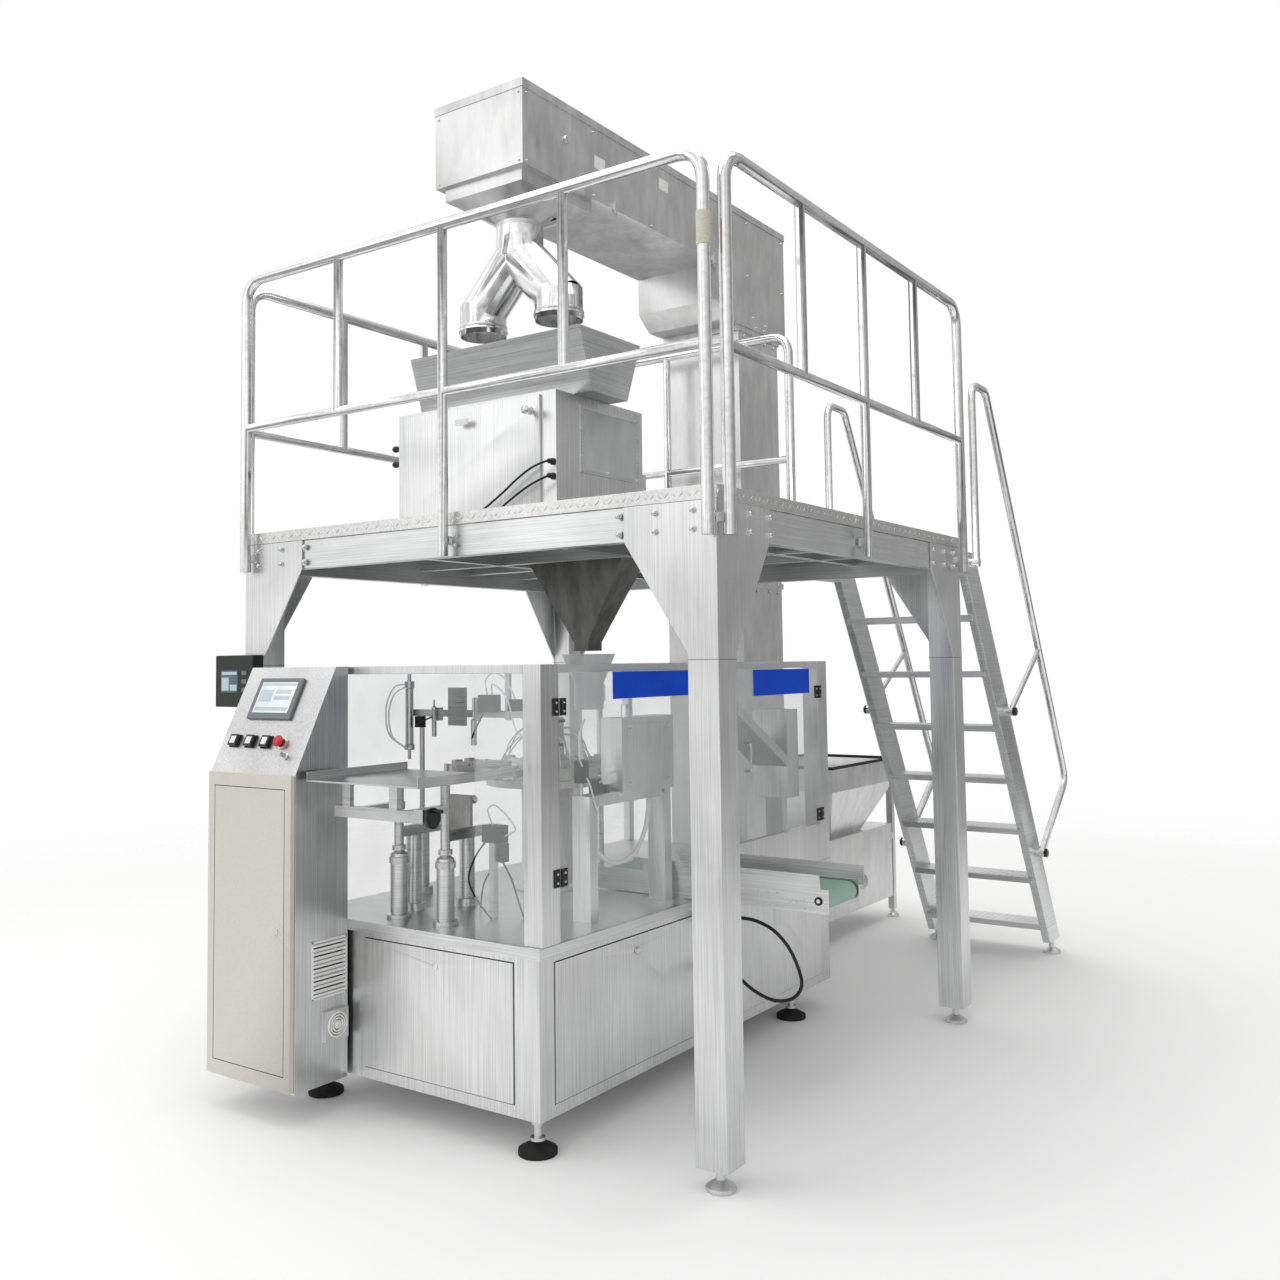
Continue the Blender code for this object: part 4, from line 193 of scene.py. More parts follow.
def smooth_path(points, count):
    """Points along one smooth curve through the given ones."""
    ends = [2 * points[0] - points[1], *points, 2 * points[-1] - points[-2]]
    path = []
    for i in range(count):
        place = i * (len(points) - 1) / (count - 1)
        k = min(int(place), len(points) - 2)
        t = place - k
        a, b, c, d = ends[k : k + 4]
        curve = (3 * b - a - 3 * c + d) * t**3 + (2 * a - 5 * b + 4 * c - d) * t**2 + (c - a) * t
        path.append(b + 0.5 * curve)
    return path


def tube_curve(name, path, radius, material, body="machine", sides=6):
    """A round cord, hose or rod along a path, kept as a curve."""
    data = bpy.data.curves.new(name, "CURVE")
    data.dimensions = "3D"
    data.bevel_depth = radius
    data.bevel_resolution = sides
    data.use_fill_caps = True
    spline = data.splines.new("POLY")
    spline.points.add(len(path) - 1)
    for point, place in zip(spline.points, path):
        point.co = (*place, 1.0)
    spline.use_smooth = True
    made = placed(name, data)
    data.materials.append(material)
    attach(made, body)
    return made


def new_material(name, colour, roughness, metallic=0.0, **more):
    """A named material: its tree, its shader, and the piece's own coordinates."""
    made = bpy.data.materials.new(name)
    made.use_nodes = True
    tree = made.node_tree
    shader = tree.nodes["Principled BSDF"]
    shader.inputs["Base Color"].default_value = linear(colour)
    shader.inputs["Roughness"].default_value = roughness
    shader.inputs["Metallic"].default_value = metallic
    for key, value in more.items():
        shader.inputs[key.replace("_", " ")].default_value = value
    return made, tree, shader, add(tree, "ShaderNodeTexCoord").outputs["Object"]


def vary(tree, shader, where, scale, stretch, low, high, roughness, bump=0.0):
    """Colour from low to high, roughness over a range and a little relief, from one noise."""
    spread = add(tree, "ShaderNodeMapping", {"Vector": where, "Scale": stretch})
    noise = add(tree, "ShaderNodeTexNoise", {"Vector": spread.outputs[0], "Scale": scale, "Detail": 3.0,
                                             "Roughness": 0.6})
    ramp = add(tree, "ShaderNodeValToRGB", {0: noise.outputs[0]})
    ramp.color_ramp.elements[0].position = 0.3
    ramp.color_ramp.elements[1].position = 0.7
    ramp.color_ramp.elements[0].color = linear(low)
    ramp.color_ramp.elements[1].color = linear(high)
    tree.links.new(ramp.outputs[0], shader.inputs["Base Color"])
    gloss = add(tree, "ShaderNodeMapRange", {0: noise.outputs[0], 1: 0.25, 2: 0.75, 3: roughness[0],
                                             4: roughness[1]})
    tree.links.new(gloss.outputs[0], shader.inputs["Roughness"])
    if bump:
        relief = add(tree, "ShaderNodeBump", {"Height": noise.outputs[0], "Strength": 0.5, "Distance": bump})
        tree.links.new(relief.outputs[0], shader.inputs["Normal"])


def surface(name, scale, low, high, roughness, bump=0.0, stretch=(1, 1, 1), metallic=0.0, **more):
    """A named material varied by one noise."""
    made, tree, shader, where = new_material(name, high, roughness[0], metallic, **more)
    vary(tree, shader, where, scale, stretch, low, high, roughness, bump)
    return made


# Neoprene cable sheath: dull black with a faint extruded mottle, about 2 mm across
rubber_sheath = surface("neoprene_sheath", 480.0, "#0c0c0c", "#1d1d1c", (0.5, 0.72), 0.0002)

cable = tube_curve("motor_cable", smooth_path(cable_points, 40), CABLE_DIAMETER / 2, rubber_sheath,
                   sides=3)
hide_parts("power_cable")


# Finishes of the steelwork
# Nearly all of the machine is 304 stainless sheet and tube: satin-ground on the panels, mirror
# polished on the rails. The grain is 0.1 mm on the real sheet and is drawn 3 to 6 mm wide here.


def steel(name, low, high, roughness, grain=(260.0, 260.0, 2.5), relief=0.00012, cloud=1.7):
    """Ground or polished stainless: streaks along the grain over broad, soft handling marks."""
    made, tree, shader, where = new_material(name, high, roughness[0], 1.0)
    vary(tree, shader, where, 1.0, grain, low, high, roughness, relief)
    smear = add(tree, "ShaderNodeTexNoise", {"Vector": where, "Scale": cloud, "Detail": 4.0,
                                             "Roughness": 0.55, "Distortion": 0.6})
    tone = add(tree, "ShaderNodeMapRange", {0: smear.outputs[0], 1: 0.3, 2: 0.7, 3: 0.76, 4: 1.0})
    base = shader.inputs["Base Color"].links[0].from_socket
    cloudy = add(tree, "ShaderNodeMix", {0: 1.0, 6: base, 7: tone.outputs[0]}, data_type="RGBA",
                 blend_type="MULTIPLY")
    tree.links.new(cloudy.outputs[2], shader.inputs["Base Color"])
    gloss = shader.inputs["Roughness"].links[0].from_socket
    dulled = add(tree, "ShaderNodeMath", {0: smear.outputs[0], 1: 0.12, 2: gloss}, operation="MULTIPLY_ADD")
    tree.links.new(dulled.outputs[0], shader.inputs["Roughness"])
    return made


# Satin 304 sheet, ground upright: bright where it faces the light, with soft vertical streaks
satin = steel("satin_stainless_sheet", "#d2d3d4", "#f4f4f4", (0.22, 0.33))
# The same sheet ground along its length, for channels, decks and lids
satin_level = steel("satin_stainless_folded", "#cdcecf", "#f0f1f1", (0.20, 0.31), (2.5, 2.5, 260.0))
# Mill-finish 2B sheet of the elevator: greyer and softer than the ground sheet
mill = steel("mill_stainless_2b", "#d8d8d9", "#f0f0f0", (0.24, 0.36), (18.0, 18.0, 5.0), 0.0001)
# Mirror-polished tube: hard light and dark lines along its length
polished = steel("polished_stainless_tube", "#e6e6e8", "#fafafa", (0.05, 0.12), (40.0, 40.0, 40.0), 0.00004)
# Turned stainless of the fasteners and small fittings: bright, with fine tool marks
bright = steel("turned_stainless", "#cfcfd0", "#f2f2f2", (0.14, 0.24), (300.0, 300.0, 300.0), 0.00005)
# Anodised and milled aluminium: even, slightly warm, fine cutter marks
alloy = steel("milled_aluminium", "#cdcdcb", "#e4e3e0", (0.30, 0.42), (120.0, 120.0, 30.0), 0.0001)


def link(name, bm, material, body="machine", smooth=40.0, bevel=0.0):
    """Makes the bmesh a finished piece: round faces smooth, edges broken."""
    data = bpy.data.meshes.new(name)
    bm.to_mesh(data)
    bm.free()
    data.materials.append(material)
    made = placed(name, data)
    data.shade_smooth()
    data.set_sharp_from_angle(angle=math.radians(smooth))
    if bevel:
        rounding = made.modifiers.new("broken_edges", "BEVEL")
        rounding.width = bevel
        rounding.segments = 2
        rounding.limit_method = "ANGLE"
        rounding.angle_limit = math.radians(35)
        rounding.harden_normals = True
    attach(made, body)
    return made


def dressed(node, material, bevel=0.0, smooth=48.0):
    """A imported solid's own shape, welded, with round faces smoothed and its edges broken."""
    bm = bmesh.new()
    bm.from_mesh(frame["nodes"][node].data)
    bmesh.ops.remove_doubles(bm, verts=bm.verts, dist=2e-5)
    bmesh.ops.dissolve_limit(bm, angle_limit=math.radians(0.4), verts=bm.verts, edges=bm.edges)
    made = link(node + "_finished", bm, material, body_of[node], smooth, bevel)
    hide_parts(node)
    return made


def add_box(bm, low, high):
    """A closed box between two corners given from the platform's front right corner."""
    size = [(h - l) for l, h in zip(low, high)]
    centre = at(*[(h + l) / 2 for l, h in zip(low, high)])
    made = bmesh.ops.create_cube(bm, size=1.0)
    bmesh.ops.scale(bm, vec=size, verts=made["verts"])
    bmesh.ops.translate(bm, vec=centre, verts=made["verts"])


def boxes(name, spans, material, body="machine", bevel=0.0015):
    """One piece made of several blocks, each given by two corners."""
    bm = bmesh.new()
    for low, high in spans:
        add_box(bm, low, high)
    return link(name, bm, material, body, bevel=bevel)


def add_turned(bm, base, direction, profile, sides=32):
    """A closed turned shape: the profile is (radius, distance along the direction)."""
    axis = direction.normalized()
    out = axis.orthogonal().normalized()
    other = axis.cross(out)
    rings = []
    for radius, distance in profile:
        centre = base + axis * distance
        if radius < 1e-6:
            rings.append([bm.verts.new(centre)])
            continue
        rings.append([
            bm.verts.new(centre + radius * (math.cos(a) * out + math.sin(a) * other))
            for a in (2 * math.pi * i / sides for i in range(sides))
        ])
    for first, second in zip(rings, rings[1:]):
        for i in range(sides):
            loop = [first[i % len(first)], first[(i + 1) % len(first)], second[(i + 1) % len(second)],
                    second[i % len(second)]]
            bm.faces.new(list(dict.fromkeys(loop)))
    for ring, flip in ((rings[0], True), (rings[-1], False)):
        if len(ring) > 2:
            bm.faces.new(ring[::-1] if flip else ring)


def turned_piece(name, parts, material, body="machine"):
    """One piece made of several turned shapes: (base, direction, profile)."""
    bm = bmesh.new()
    for base, direction, profile in parts:
        add_turned(bm, base, Vector(direction), profile)
    return link(name, bm, material, body, smooth=35.0)


def rounded(path, bend):
    """A path of straight runs with its corners rounded."""
    made, steps = [path[0]], 6
    for before, corner_point, after in zip(path, path[1:], path[2:]):
        a = corner_point + (before - corner_point).normalized() * bend
        b = corner_point + (after - corner_point).normalized() * bend
        for i in range(steps + 1):
            t = i / steps
            made.append((1 - t) ** 2 * a + 2 * t * (1 - t) * corner_point + t * t * b)
    made.append(path[-1])
    return made


# Domed hex bolts
# Stainless M12 hex bolts on washers hold the corner plates, the rails, the conveyor's side and the
# column's flanges. One Geometry Nodes tree sets a bolt at each point, turned to face outward.


def bolt_head():
    """A six-sided head with a domed top on a washer, one unit across, standing along +Z."""
    bm = bmesh.new()
    add_turned(bm, Vector((0, 0, 0)), Vector((0, 0, 1)), [(0.62, 0.0), (0.62, 0.10)], 16)
    add_turned(bm, Vector((0, 0, 0.10)), Vector((0, 0, 1)), [(0.5, 0.0), (0.5, 0.30)], 6)
    dome = [(0.42, 0.0), (0.38, 0.14), (0.24, 0.26), (0, 0.31)]
    add_turned(bm, Vector((0, 0, 0.40)), Vector((0, 0, 1)), dome, 12)
    data = bpy.data.meshes.new("bolt_head")
    bm.to_mesh(data)
    bm.free()
    data.shade_smooth()
    data.set_sharp_from_angle(angle=math.radians(35))
    return placed("bolt_head", data)


def instancing_tree():
    """Sets a shape at each point, turned to the point's facing, and gives it its material."""
    tree = bpy.data.node_groups.new("shape_at_each_point", "GeometryNodeTree")
    for kind, name in (("NodeSocketGeometry", "Points"), ("NodeSocketObject", "Shape"),
                       ("NodeSocketFloat", "Size"), ("NodeSocketMaterial", "Finish")):
        tree.interface.new_socket(name=name, in_out="INPUT", socket_type=kind)
    tree.interface.new_socket(name="Result", in_out="OUTPUT", socket_type="NodeSocketGeometry")
    given = add(tree, "NodeGroupInput")
    shape = add(tree, "GeometryNodeObjectInfo", {"Object": given.outputs["Shape"]})
    facing_of = add(tree, "GeometryNodeInputNamedAttribute", {"Name": "facing"}, data_type="FLOAT_VECTOR")
    turned_to = add(tree, "FunctionNodeAlignRotationToVector", {"Vector": facing_of.outputs[0]}, axis="Z")
    size = add(tree, "ShaderNodeCombineXYZ", {0: given.outputs["Size"], 1: given.outputs["Size"],
                                              2: given.outputs["Size"]})
    copies = add(tree, "GeometryNodeInstanceOnPoints", {
        "Points": given.outputs["Points"], "Instance": shape.outputs["Geometry"],
        "Rotation": turned_to.outputs[0], "Scale": size.outputs[0]})
    real = add(tree, "GeometryNodeRealizeInstances", {0: copies.outputs[0]})
    coated = add(tree, "GeometryNodeSetMaterial", {0: real.outputs[0], "Material": given.outputs["Finish"]})
    add(tree, "NodeGroupOutput", {0: coated.outputs[0]})
    return tree


set_at_points = instancing_tree()


def repeated(name, shape, places, size, material, body="machine"):
    """One plain mesh of a shape repeated at places, each a point and the way it faces."""
    data = bpy.data.meshes.new(name)
    data.from_pydata([point for point, _ in places], [], [])
    ways = data.attributes.new("facing", "FLOAT_VECTOR", "POINT")
    for i, (_, way) in enumerate(places):
        ways.data[i].vector = Vector(way)
    source = placed(name + "_points", data)
    live = source.modifiers.new("copies", "NODES")
    live.node_group = set_at_points
    keys = {s.name: s.identifier for s in set_at_points.interface.items_tree if s.in_out == "INPUT"}
    live[keys["Shape"]] = shape
    live[keys["Size"]] = size
    live[keys["Finish"]] = material
    graph = bpy.context.evaluated_depsgraph_get()
    baked = bpy.data.meshes.new_from_object(source.evaluated_get(graph))
    baked.name = name
    bpy.data.objects.remove(source)
    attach(placed(name, baked), body)


hex_bolt = bolt_head()


# Platform legs, frame and deck
# 115 mm square legs with 8 mm corner plates welded on, bolted to folded channels. The deck is
# chequer plate whose edge turns down over the channels; each leg stands on a levelling foot.

WIDTH, DEPTH = 2.33, 2.24
DECK_TOP = deck_high.z
LEG_SIDE = 0.115
WELD_FOOT, WELD_TOP, BEAD = 1.6585, 1.6605, 0.0005
welds = []
for end in ("front_right", "front_left", "rear_right", "rear_left"):
    dressed("platform_leg_" + end, satin, 0.002)
    low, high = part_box("platform_leg_" + end)
    x = (low.x if end.endswith("left") else high.x - LEG_SIDE) - corner.x
    y = (low.y if end.startswith("front") else high.y - LEG_SIDE) - corner.y
    welds.append(((x - BEAD, y - BEAD, WELD_FOOT), (x + LEG_SIDE + BEAD, y + LEG_SIDE + BEAD, WELD_TOP)))
# Weld seam where each leg meets its corner plates: a low, dark, heat-tinted bead
tint_weld = steel("heat_tinted_weld", "#5d5a55", "#85817a", (0.35, 0.5), (160.0, 160.0, 160.0), 0.0006)
boxes("leg_welds", welds, tint_weld, bevel=0.0)
dressed("platform_frame", satin_level, 0.0015)
# Chequer plate: bright rolled stainless
chequer = steel("rolled_chequer_plate", "#cfcfcf", "#ededeb", (0.22, 0.34), (90.0, 90.0, 90.0), 0.0003)
dressed("platform_deck", chequer, 0.002)

BOLT_ROWS_Z = (2.080, 2.141)
bolts = []
for z in BOLT_ROWS_Z:
    for x in (-0.377, -0.233, -0.088, 0.088 - WIDTH, 0.233 - WIDTH, 0.377 - WIDTH):
        bolts += [(at(x, 0.0, z), TO_FRONT), (at(x, DEPTH, z), TO_BACK)]
    for y in (0.088, 0.212, 0.351, DEPTH - 0.351, DEPTH - 0.212, DEPTH - 0.088):
        bolts += [(at(0.0, y, z), TO_RIGHT), (at(-WIDTH, y, z), TO_LEFT)]
repeated("frame_bolts", hex_bolt, bolts, 0.021, bright)


def lozenge():
    """One raised bar of chequer plate, a unit long, lying along X with pointed ends."""
    bm = bmesh.new()
    add_turned(bm, Vector((0, 0, -0.02)), Vector((0, 0, 1)), [(0.5, 0.0), (0.42, 0.05), (0.2, 0.08)], 8)
    bmesh.ops.scale(bm, vec=(1.0, 0.28, 1.0), verts=bm.verts)
    data = bpy.data.meshes.new("tread_bar")
    bm.to_mesh(data)
    bm.free()
    return placed("tread_bar", data)


tread_bar = lozenge()
BAR_LENGTH, EDGE = 0.026, 0.048
DIAGONAL = 0.7071


def plate_bars(name, span, origin, along, down, out, pitch=0.028):
    """Chequer bars in crossed pairs over a flat rectangle: its span is (length, width)."""
    along, down, out = Vector(along), Vector(down), Vector(out)
    rows = max(1, int(span[1] / pitch))
    bm = bmesh.new()
    for i in range(int(span[0] / pitch)):
        for j in range(rows):
            place = origin + along * (i + 0.5) * pitch + down * (j + 0.5) * (span[1] / rows)
            long_way = along * DIAGONAL + down * DIAGONAL * (1 if (i + j) % 2 else -1)
            spin = Matrix((long_way, out.cross(long_way), out)).transposed().to_4x4()
            start = len(bm.verts)
            bm.from_mesh(tread_bar.data)
            bm.verts.ensure_lookup_table()
            bmesh.ops.transform(bm, matrix=Matrix.Translation(place) @ spin @ Matrix.Scale(BAR_LENGTH, 4),
                                verts=bm.verts[start:])
    link(name, bm, chequer, smooth=20.0)


DOWN = (0, 0, -1)
plate_bars("deck_edge_bars_front", (WIDTH, EDGE), at(-WIDTH, 0.0, DECK_TOP), TO_RIGHT, DOWN, TO_FRONT)
plate_bars("deck_edge_bars_right", (DEPTH, EDGE), at(0.0, 0.0, DECK_TOP), TO_BACK, DOWN, TO_RIGHT)
plate_bars("deck_edge_bars_left", (DEPTH, EDGE), at(-WIDTH, DEPTH, DECK_TOP), TO_FRONT, DOWN, TO_LEFT)


# Handrails and stair
# 45 mm mirror-polished tube, bent at the corners and welded, with thinner balusters; bolted pads
# on the channels. The stair has flat stringers and folded chequer treads.

for node in ("handrail_front", "handrail_right", "handrail_left", "handrail_rear", "stair_rail_right",
             "stair_rail_left"):
    dressed(node, polished, smooth=50.0)
dressed("stair", satin_level, 0.0015)
PAD_SPREAD, PAD_OUT = 0.033, 0.002
pads = []
for x, side_of in ((0.04 - WIDTH, 1), (-1.15, 1), (-0.01, -1)):
    pads += [(at(x + side_of * PAD_SPREAD, -PAD_OUT, z), TO_FRONT) for z in (2.095, 2.132)]
for y in (0.03, 1.115, DEPTH - 0.04):
    pads += [(at(PAD_OUT, y + PAD_SPREAD, z), TO_RIGHT) for z in (2.095, 2.132)]
repeated("rail_bolts", hex_bolt, pads, 0.012, bright)

# Paper masking tape wrapped on the near corner post: dull buff, slightly crinkled
tape = surface("crepe_masking_tape", 90.0, "#c9c2ad", "#e2dccb", (0.75, 0.95), 0.0006, stretch=(1, 1, 3))
WRAP = [(0.0237, 0.0), (0.0242, 0.004), (0.0240, 0.05), (0.0245, 0.10), (0.0237, 0.11)]
turned_piece("tape_wrap", [(at(-0.01, -0.033, 2.985), UP, WRAP)], tape)

TREADS, FIRST_TREAD, TREAD_RISE = 7, 0.18, 0.2817
TREAD_WIDTH, TREAD_DEPTH = 0.62, 0.18
STAIR_TOP, STAIR_START, STAIR_LEAN = 2.1717, DEPTH + GAP + 0.245, 0.60
for i in range(TREADS):
    z = FIRST_TREAD + TREAD_RISE * i
    y = STAIR_START + STAIR_LEAN * (STAIR_TOP - z)
    plate_bars(f"tread_bars_{i + 1}", (TREAD_WIDTH, TREAD_DEPTH), at(-0.70, y - TREAD_DEPTH / 2, z),
               TO_RIGHT, TO_BACK, UP, 0.034)
# Phenolic star knob: glossy black moulding
phenolic = surface("moulded_phenolic", 60.0, "#080808", "#161616", (0.16, 0.3))
star = []
for x in (-0.005, -0.775):
    for y, z in ((2.96, 1.38), (3.428, 0.60)):
        star.append((at(x, y, z), TO_RIGHT if x > -0.1 else TO_LEFT,
                     [(0.012, 0.006), (0.012, 0.014), (0.022, 0.018), (0.024, 0.026), (0.018, 0.032)]))
turned_piece("stair_knobs", star, phenolic)


# Machine base and worktop
# A folded satin cabinet with three lift-off doors and cam locks, under a worktop with a raised
# rolled edge. It stands on four screwed feet with black rubber pads.

dressed("base_cabinet", satin, 0.002)
dressed("worktop", satin_level, 0.0015)
for node in ("base_door_front", "base_door_right_front", "base_door_right_rear"):
    dressed(node, satin, 0.0015)
# Natural rubber foot: matt black, dusty in the hollows
foot_rubber = surface("natural_rubber_pad", 45.0, "#0a0a0a", "#242423", (0.75, 0.95), 0.0004)
for end in ("front_left", "front_right", "rear_left", "rear_right"):
    dressed("base_foot_" + end, foot_rubber, 0.001)
    low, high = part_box("base_foot_" + end)
    centre = Vector(((low.x + high.x) / 2, (low.y + high.y) / 2, 0.0))
    turned_piece("base_screw_" + end, [
        (centre, UP, [(0.014, 0.046), (0.014, 0.124)]),
        (centre, UP, [(0.026, 0.046), (0.026, 0.056)]),
        (centre, UP, [(0.022, 0.098), (0.022, 0.114)])], bright)
LOCK_RING = [(0.014, 0), (0.014, 0.0035), (0.009, 0.0045), (0, 0.0045)]
for name, y, door in (("base_lock_rings", 0.4775, "base_door_right_front_body"),
                      ("base_lock_ring_rear", 1.5525, "base_door_right_rear_body")):
    turned_piece(name, [(at(-0.647, y, 0.58), TO_RIGHT, LOCK_RING)], bright, door)


# Guarding
# 80 mm posts folded from satin sheet carry 8 mm clear acrylic panes. Two doors hang on
# black hinges, each with a blue band of film along its top and a bent wire handle.

RIGHT, FRONT, BACK, LEFT = -0.64, -0.10, 2.13, -1.83
FOOT, TOP = 0.7003, 1.65
guard_posts = boxes("guard_posts", [
    ((RIGHT - 0.08, FRONT, FOOT), (RIGHT, 0.0, TOP)),
    ((RIGHT - 0.08, BACK - 0.10, FOOT), (RIGHT, BACK, TOP)),
    ((RIGHT - 0.04, 1.172, FOOT), (RIGHT, 1.222, TOP)),
    ((LEFT, FRONT, FOOT), (LEFT + 0.04, FRONT + 0.04, TOP)),
    ((LEFT, BACK - 0.04, FOOT), (LEFT + 0.04, BACK, TOP)),
    ((RIGHT - 0.08, 0.0, TOP - 0.03), (RIGHT - 0.06, BACK - 0.10, TOP)),
    ((LEFT + 0.04, FRONT, TOP - 0.03), (RIGHT - 0.08, FRONT + 0.02, TOP)),
    ((RIGHT - 0.03, 1.222, FOOT), (RIGHT, BACK - 0.10, 0.877)),
], satin, bevel=0.002)
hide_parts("guard_frame")

# Cast acrylic: clear with a faint white haze that gathers at the edges, and a hard gloss
acrylic, tree, shader, where = new_material("cast_acrylic", "#f4f7f8", 0.04, Alpha=0.13)
shader.inputs["IOR"].default_value = 1.49
haze = add(tree, "ShaderNodeTexNoise", {"Vector": where, "Scale": 2.2, "Detail": 3.0})
film = add(tree, "ShaderNodeMapRange", {0: haze.outputs[0], 1: 0.3, 2: 0.7, 3: 0.08, 4: 0.20})
tree.links.new(film.outputs[0], shader.inputs["Alpha"])
PANE = 0.008
boxes("guard_panes", [
    ((LEFT, FRONT + 0.04, FOOT), (LEFT + PANE, BACK - 0.04, TOP)),
    ((LEFT + 0.04, BACK - PANE, FOOT), (RIGHT - 0.08, BACK, TOP)),
    ((RIGHT - 0.30, FRONT, FOOT), (RIGHT - 0.08, FRONT + PANE, TOP - 0.03)),
], acrylic, bevel=0.0008)

# Blue self-adhesive vinyl, satin, plain
vinyl = surface("blue_vinyl_film", 6.0, "#0049d4", "#0058ea", (0.42, 0.55), Specular_IOR_Level=0.15)
# Black powder-coated zinc hinge: fine orange-peel
hinge_black = surface("black_powder_coat", 350.0, "#0f0f0f", "#1c1c1c", (0.42, 0.6), 0.0003)

NEAR_OUTLINE = [(0.003, 0.7033), (0.86, 0.7033), (0.86, 0.88), (1.169, 0.88), (1.169, TOP), (0.003, TOP)]
FAR_OUTLINE = [(1.225, 0.88), (2.027, 0.88), (2.027, TOP), (1.225, TOP)]
HINGE_Z = ((0.89, 0.95), (1.473, 1.533))


def door_pane(name, outline, body, node):
    """One acrylic leaf cut to its outline."""
    bm = bmesh.new()
    face = bm.faces.new([bm.verts.new(at(RIGHT - PANE, y, z)) for y, z in outline])
    grown = bmesh.ops.extrude_face_region(bm, geom=[face])
    moved = [v for v in grown["geom"] if isinstance(v, bmesh.types.BMVert)]
    bmesh.ops.translate(bm, vec=(PANE, 0, 0), verts=moved)
    bmesh.ops.recalc_face_normals(bm, faces=bm.faces)
    made = link(name, bm, acrylic, body, bevel=0.0008)
    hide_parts(node)
    return made


for side_name, outline, hinge_y, way, handle_y, band in (
    ("front", NEAR_OUTLINE, 0.003, 1, 1.089, (0.323, 0.95, 1.52, 1.62)),
    ("rear", FAR_OUTLINE, 2.027, -1, 1.305, (1.39, 1.94, 1.50, 1.615)),
):
    node = "guard_door_right_" + side_name
    door = node + "_body"
    door_pane(node + "_pane", outline, door, node)
    boxes(node + "_band", [((RIGHT - 0.0002, band[0], band[2]), (RIGHT + 0.0006, band[1], band[3]))], vinyl,
          door, bevel=0.0)
    leaves, fixed, screws, fixed_screws = [], [], [], []
    for z0, z1 in HINGE_Z:
        leaves.append(((RIGHT - 0.0005, min(hinge_y, hinge_y + way * 0.034), z0),
                       (RIGHT + 0.005, max(hinge_y, hinge_y + way * 0.034), z1)))
        fixed.append(((RIGHT - 0.0005, min(hinge_y - way * 0.008, hinge_y - way * 0.037), z0),
                      (RIGHT + 0.005, max(hinge_y - way * 0.008, hinge_y - way * 0.037), z1)))
        for z in (z0 + 0.015, z1 - 0.015):
            screws.append((at(RIGHT + 0.005, hinge_y + way * 0.019, z), TO_RIGHT))
            fixed_screws.append((at(RIGHT + 0.005, hinge_y - way * 0.023, z), TO_RIGHT))
    boxes(node + "_hinge_leaves", leaves, hinge_black, door, bevel=0.0012)
    boxes(node + "_post_leaves", fixed, hinge_black, "machine", bevel=0.0012)
    turned_piece(node + "_hinge_pins", [(at(RIGHT + 0.0062, hinge_y, z0), UP, [(0.005, 0), (0.005, z1 - z0)])
                                        for z0, z1 in HINGE_Z], hinge_black, door)
    repeated(node + "_hinge_screws", hex_bolt, screws, 0.008, bright, door)
    repeated(node + "_post_screws", hex_bolt, fixed_screws, 0.008, bright)
    grip = rounded([at(RIGHT - 0.002, handle_y, 1.30), at(RIGHT + 0.03, handle_y, 1.30),
                    at(RIGHT + 0.03, handle_y, 1.18), at(RIGHT - 0.002, handle_y, 1.18)], 0.012)
    tube_curve(node + "_handle", grip, 0.005, bright, door)


# Control cabinet
# A folded satin case with a sloping desk, standing on the base's front left corner, with a warm
# grey painted door. The desk holds the touch panel, three square buttons, the stop and the key.

dressed("control_cabinet", satin, 0.002)
# Warm grey stoved enamel: even, faint orange-peel
enamel = surface("stoved_enamel", 160.0, "#c9c5bd", "#d1cdc5", (0.38, 0.48), 0.0002)
dressed("control_cabinet_door", enamel, 0.003)
# Black foam gasket in the seam round the door leaf
gasket = surface("foam_gasket", 300.0, "#232322", "#363634", (0.85, 0.95), 0.0002)
CABINET_FRONT, LEAF = -0.3653, 0.018
SEAM_FRONT = CABINET_FRONT - LEAF - 0.0004
SEAM_LEFT, SEAM_RIGHT, SEAM_FOOT, SEAM_TOP = -2.012, -1.607, 0.180, 1.206
boxes("cabinet_door_seam", [
    ((SEAM_LEFT, SEAM_FRONT, SEAM_FOOT), (SEAM_LEFT + 0.003, SEAM_FRONT + 0.002, SEAM_TOP)),
    ((SEAM_RIGHT - 0.003, SEAM_FRONT, SEAM_FOOT), (SEAM_RIGHT, SEAM_FRONT + 0.002, SEAM_TOP)),
    ((SEAM_LEFT, SEAM_FRONT, SEAM_FOOT), (SEAM_RIGHT, SEAM_FRONT + 0.002, SEAM_FOOT + 0.003)),
    ((SEAM_LEFT, SEAM_FRONT, SEAM_TOP - 0.003), (SEAM_RIGHT, SEAM_FRONT + 0.002, SEAM_TOP)),
], gasket, "control_cabinet_door_body", bevel=0.0)
turned_piece("cabinet_lock", [(at(-1.653, -0.3832, 0.691), TO_FRONT,
                               [(0.015, 0.0), (0.015, 0.004), (0.010, 0.004), (0.010, 0.003), (0, 0.003)])],
             bright, "control_cabinet_door_body")

DESK_RUN, DESK_RISE = 0.19, 0.388
SLOPE_FOOT = at(-2.055, CABINET_FRONT, 1.262)
slope = Vector((0, DESK_RUN, DESK_RISE)).normalized()
outward = Vector((0, -DESK_RISE, DESK_RUN)).normalized()


def on_desk(x, up, out=0.0):
    """A point on the sloping desk: from its left edge, up its slope, and out of it."""
    return SLOPE_FOOT + Vector((x, 0, 0)) + slope * up + outward * out


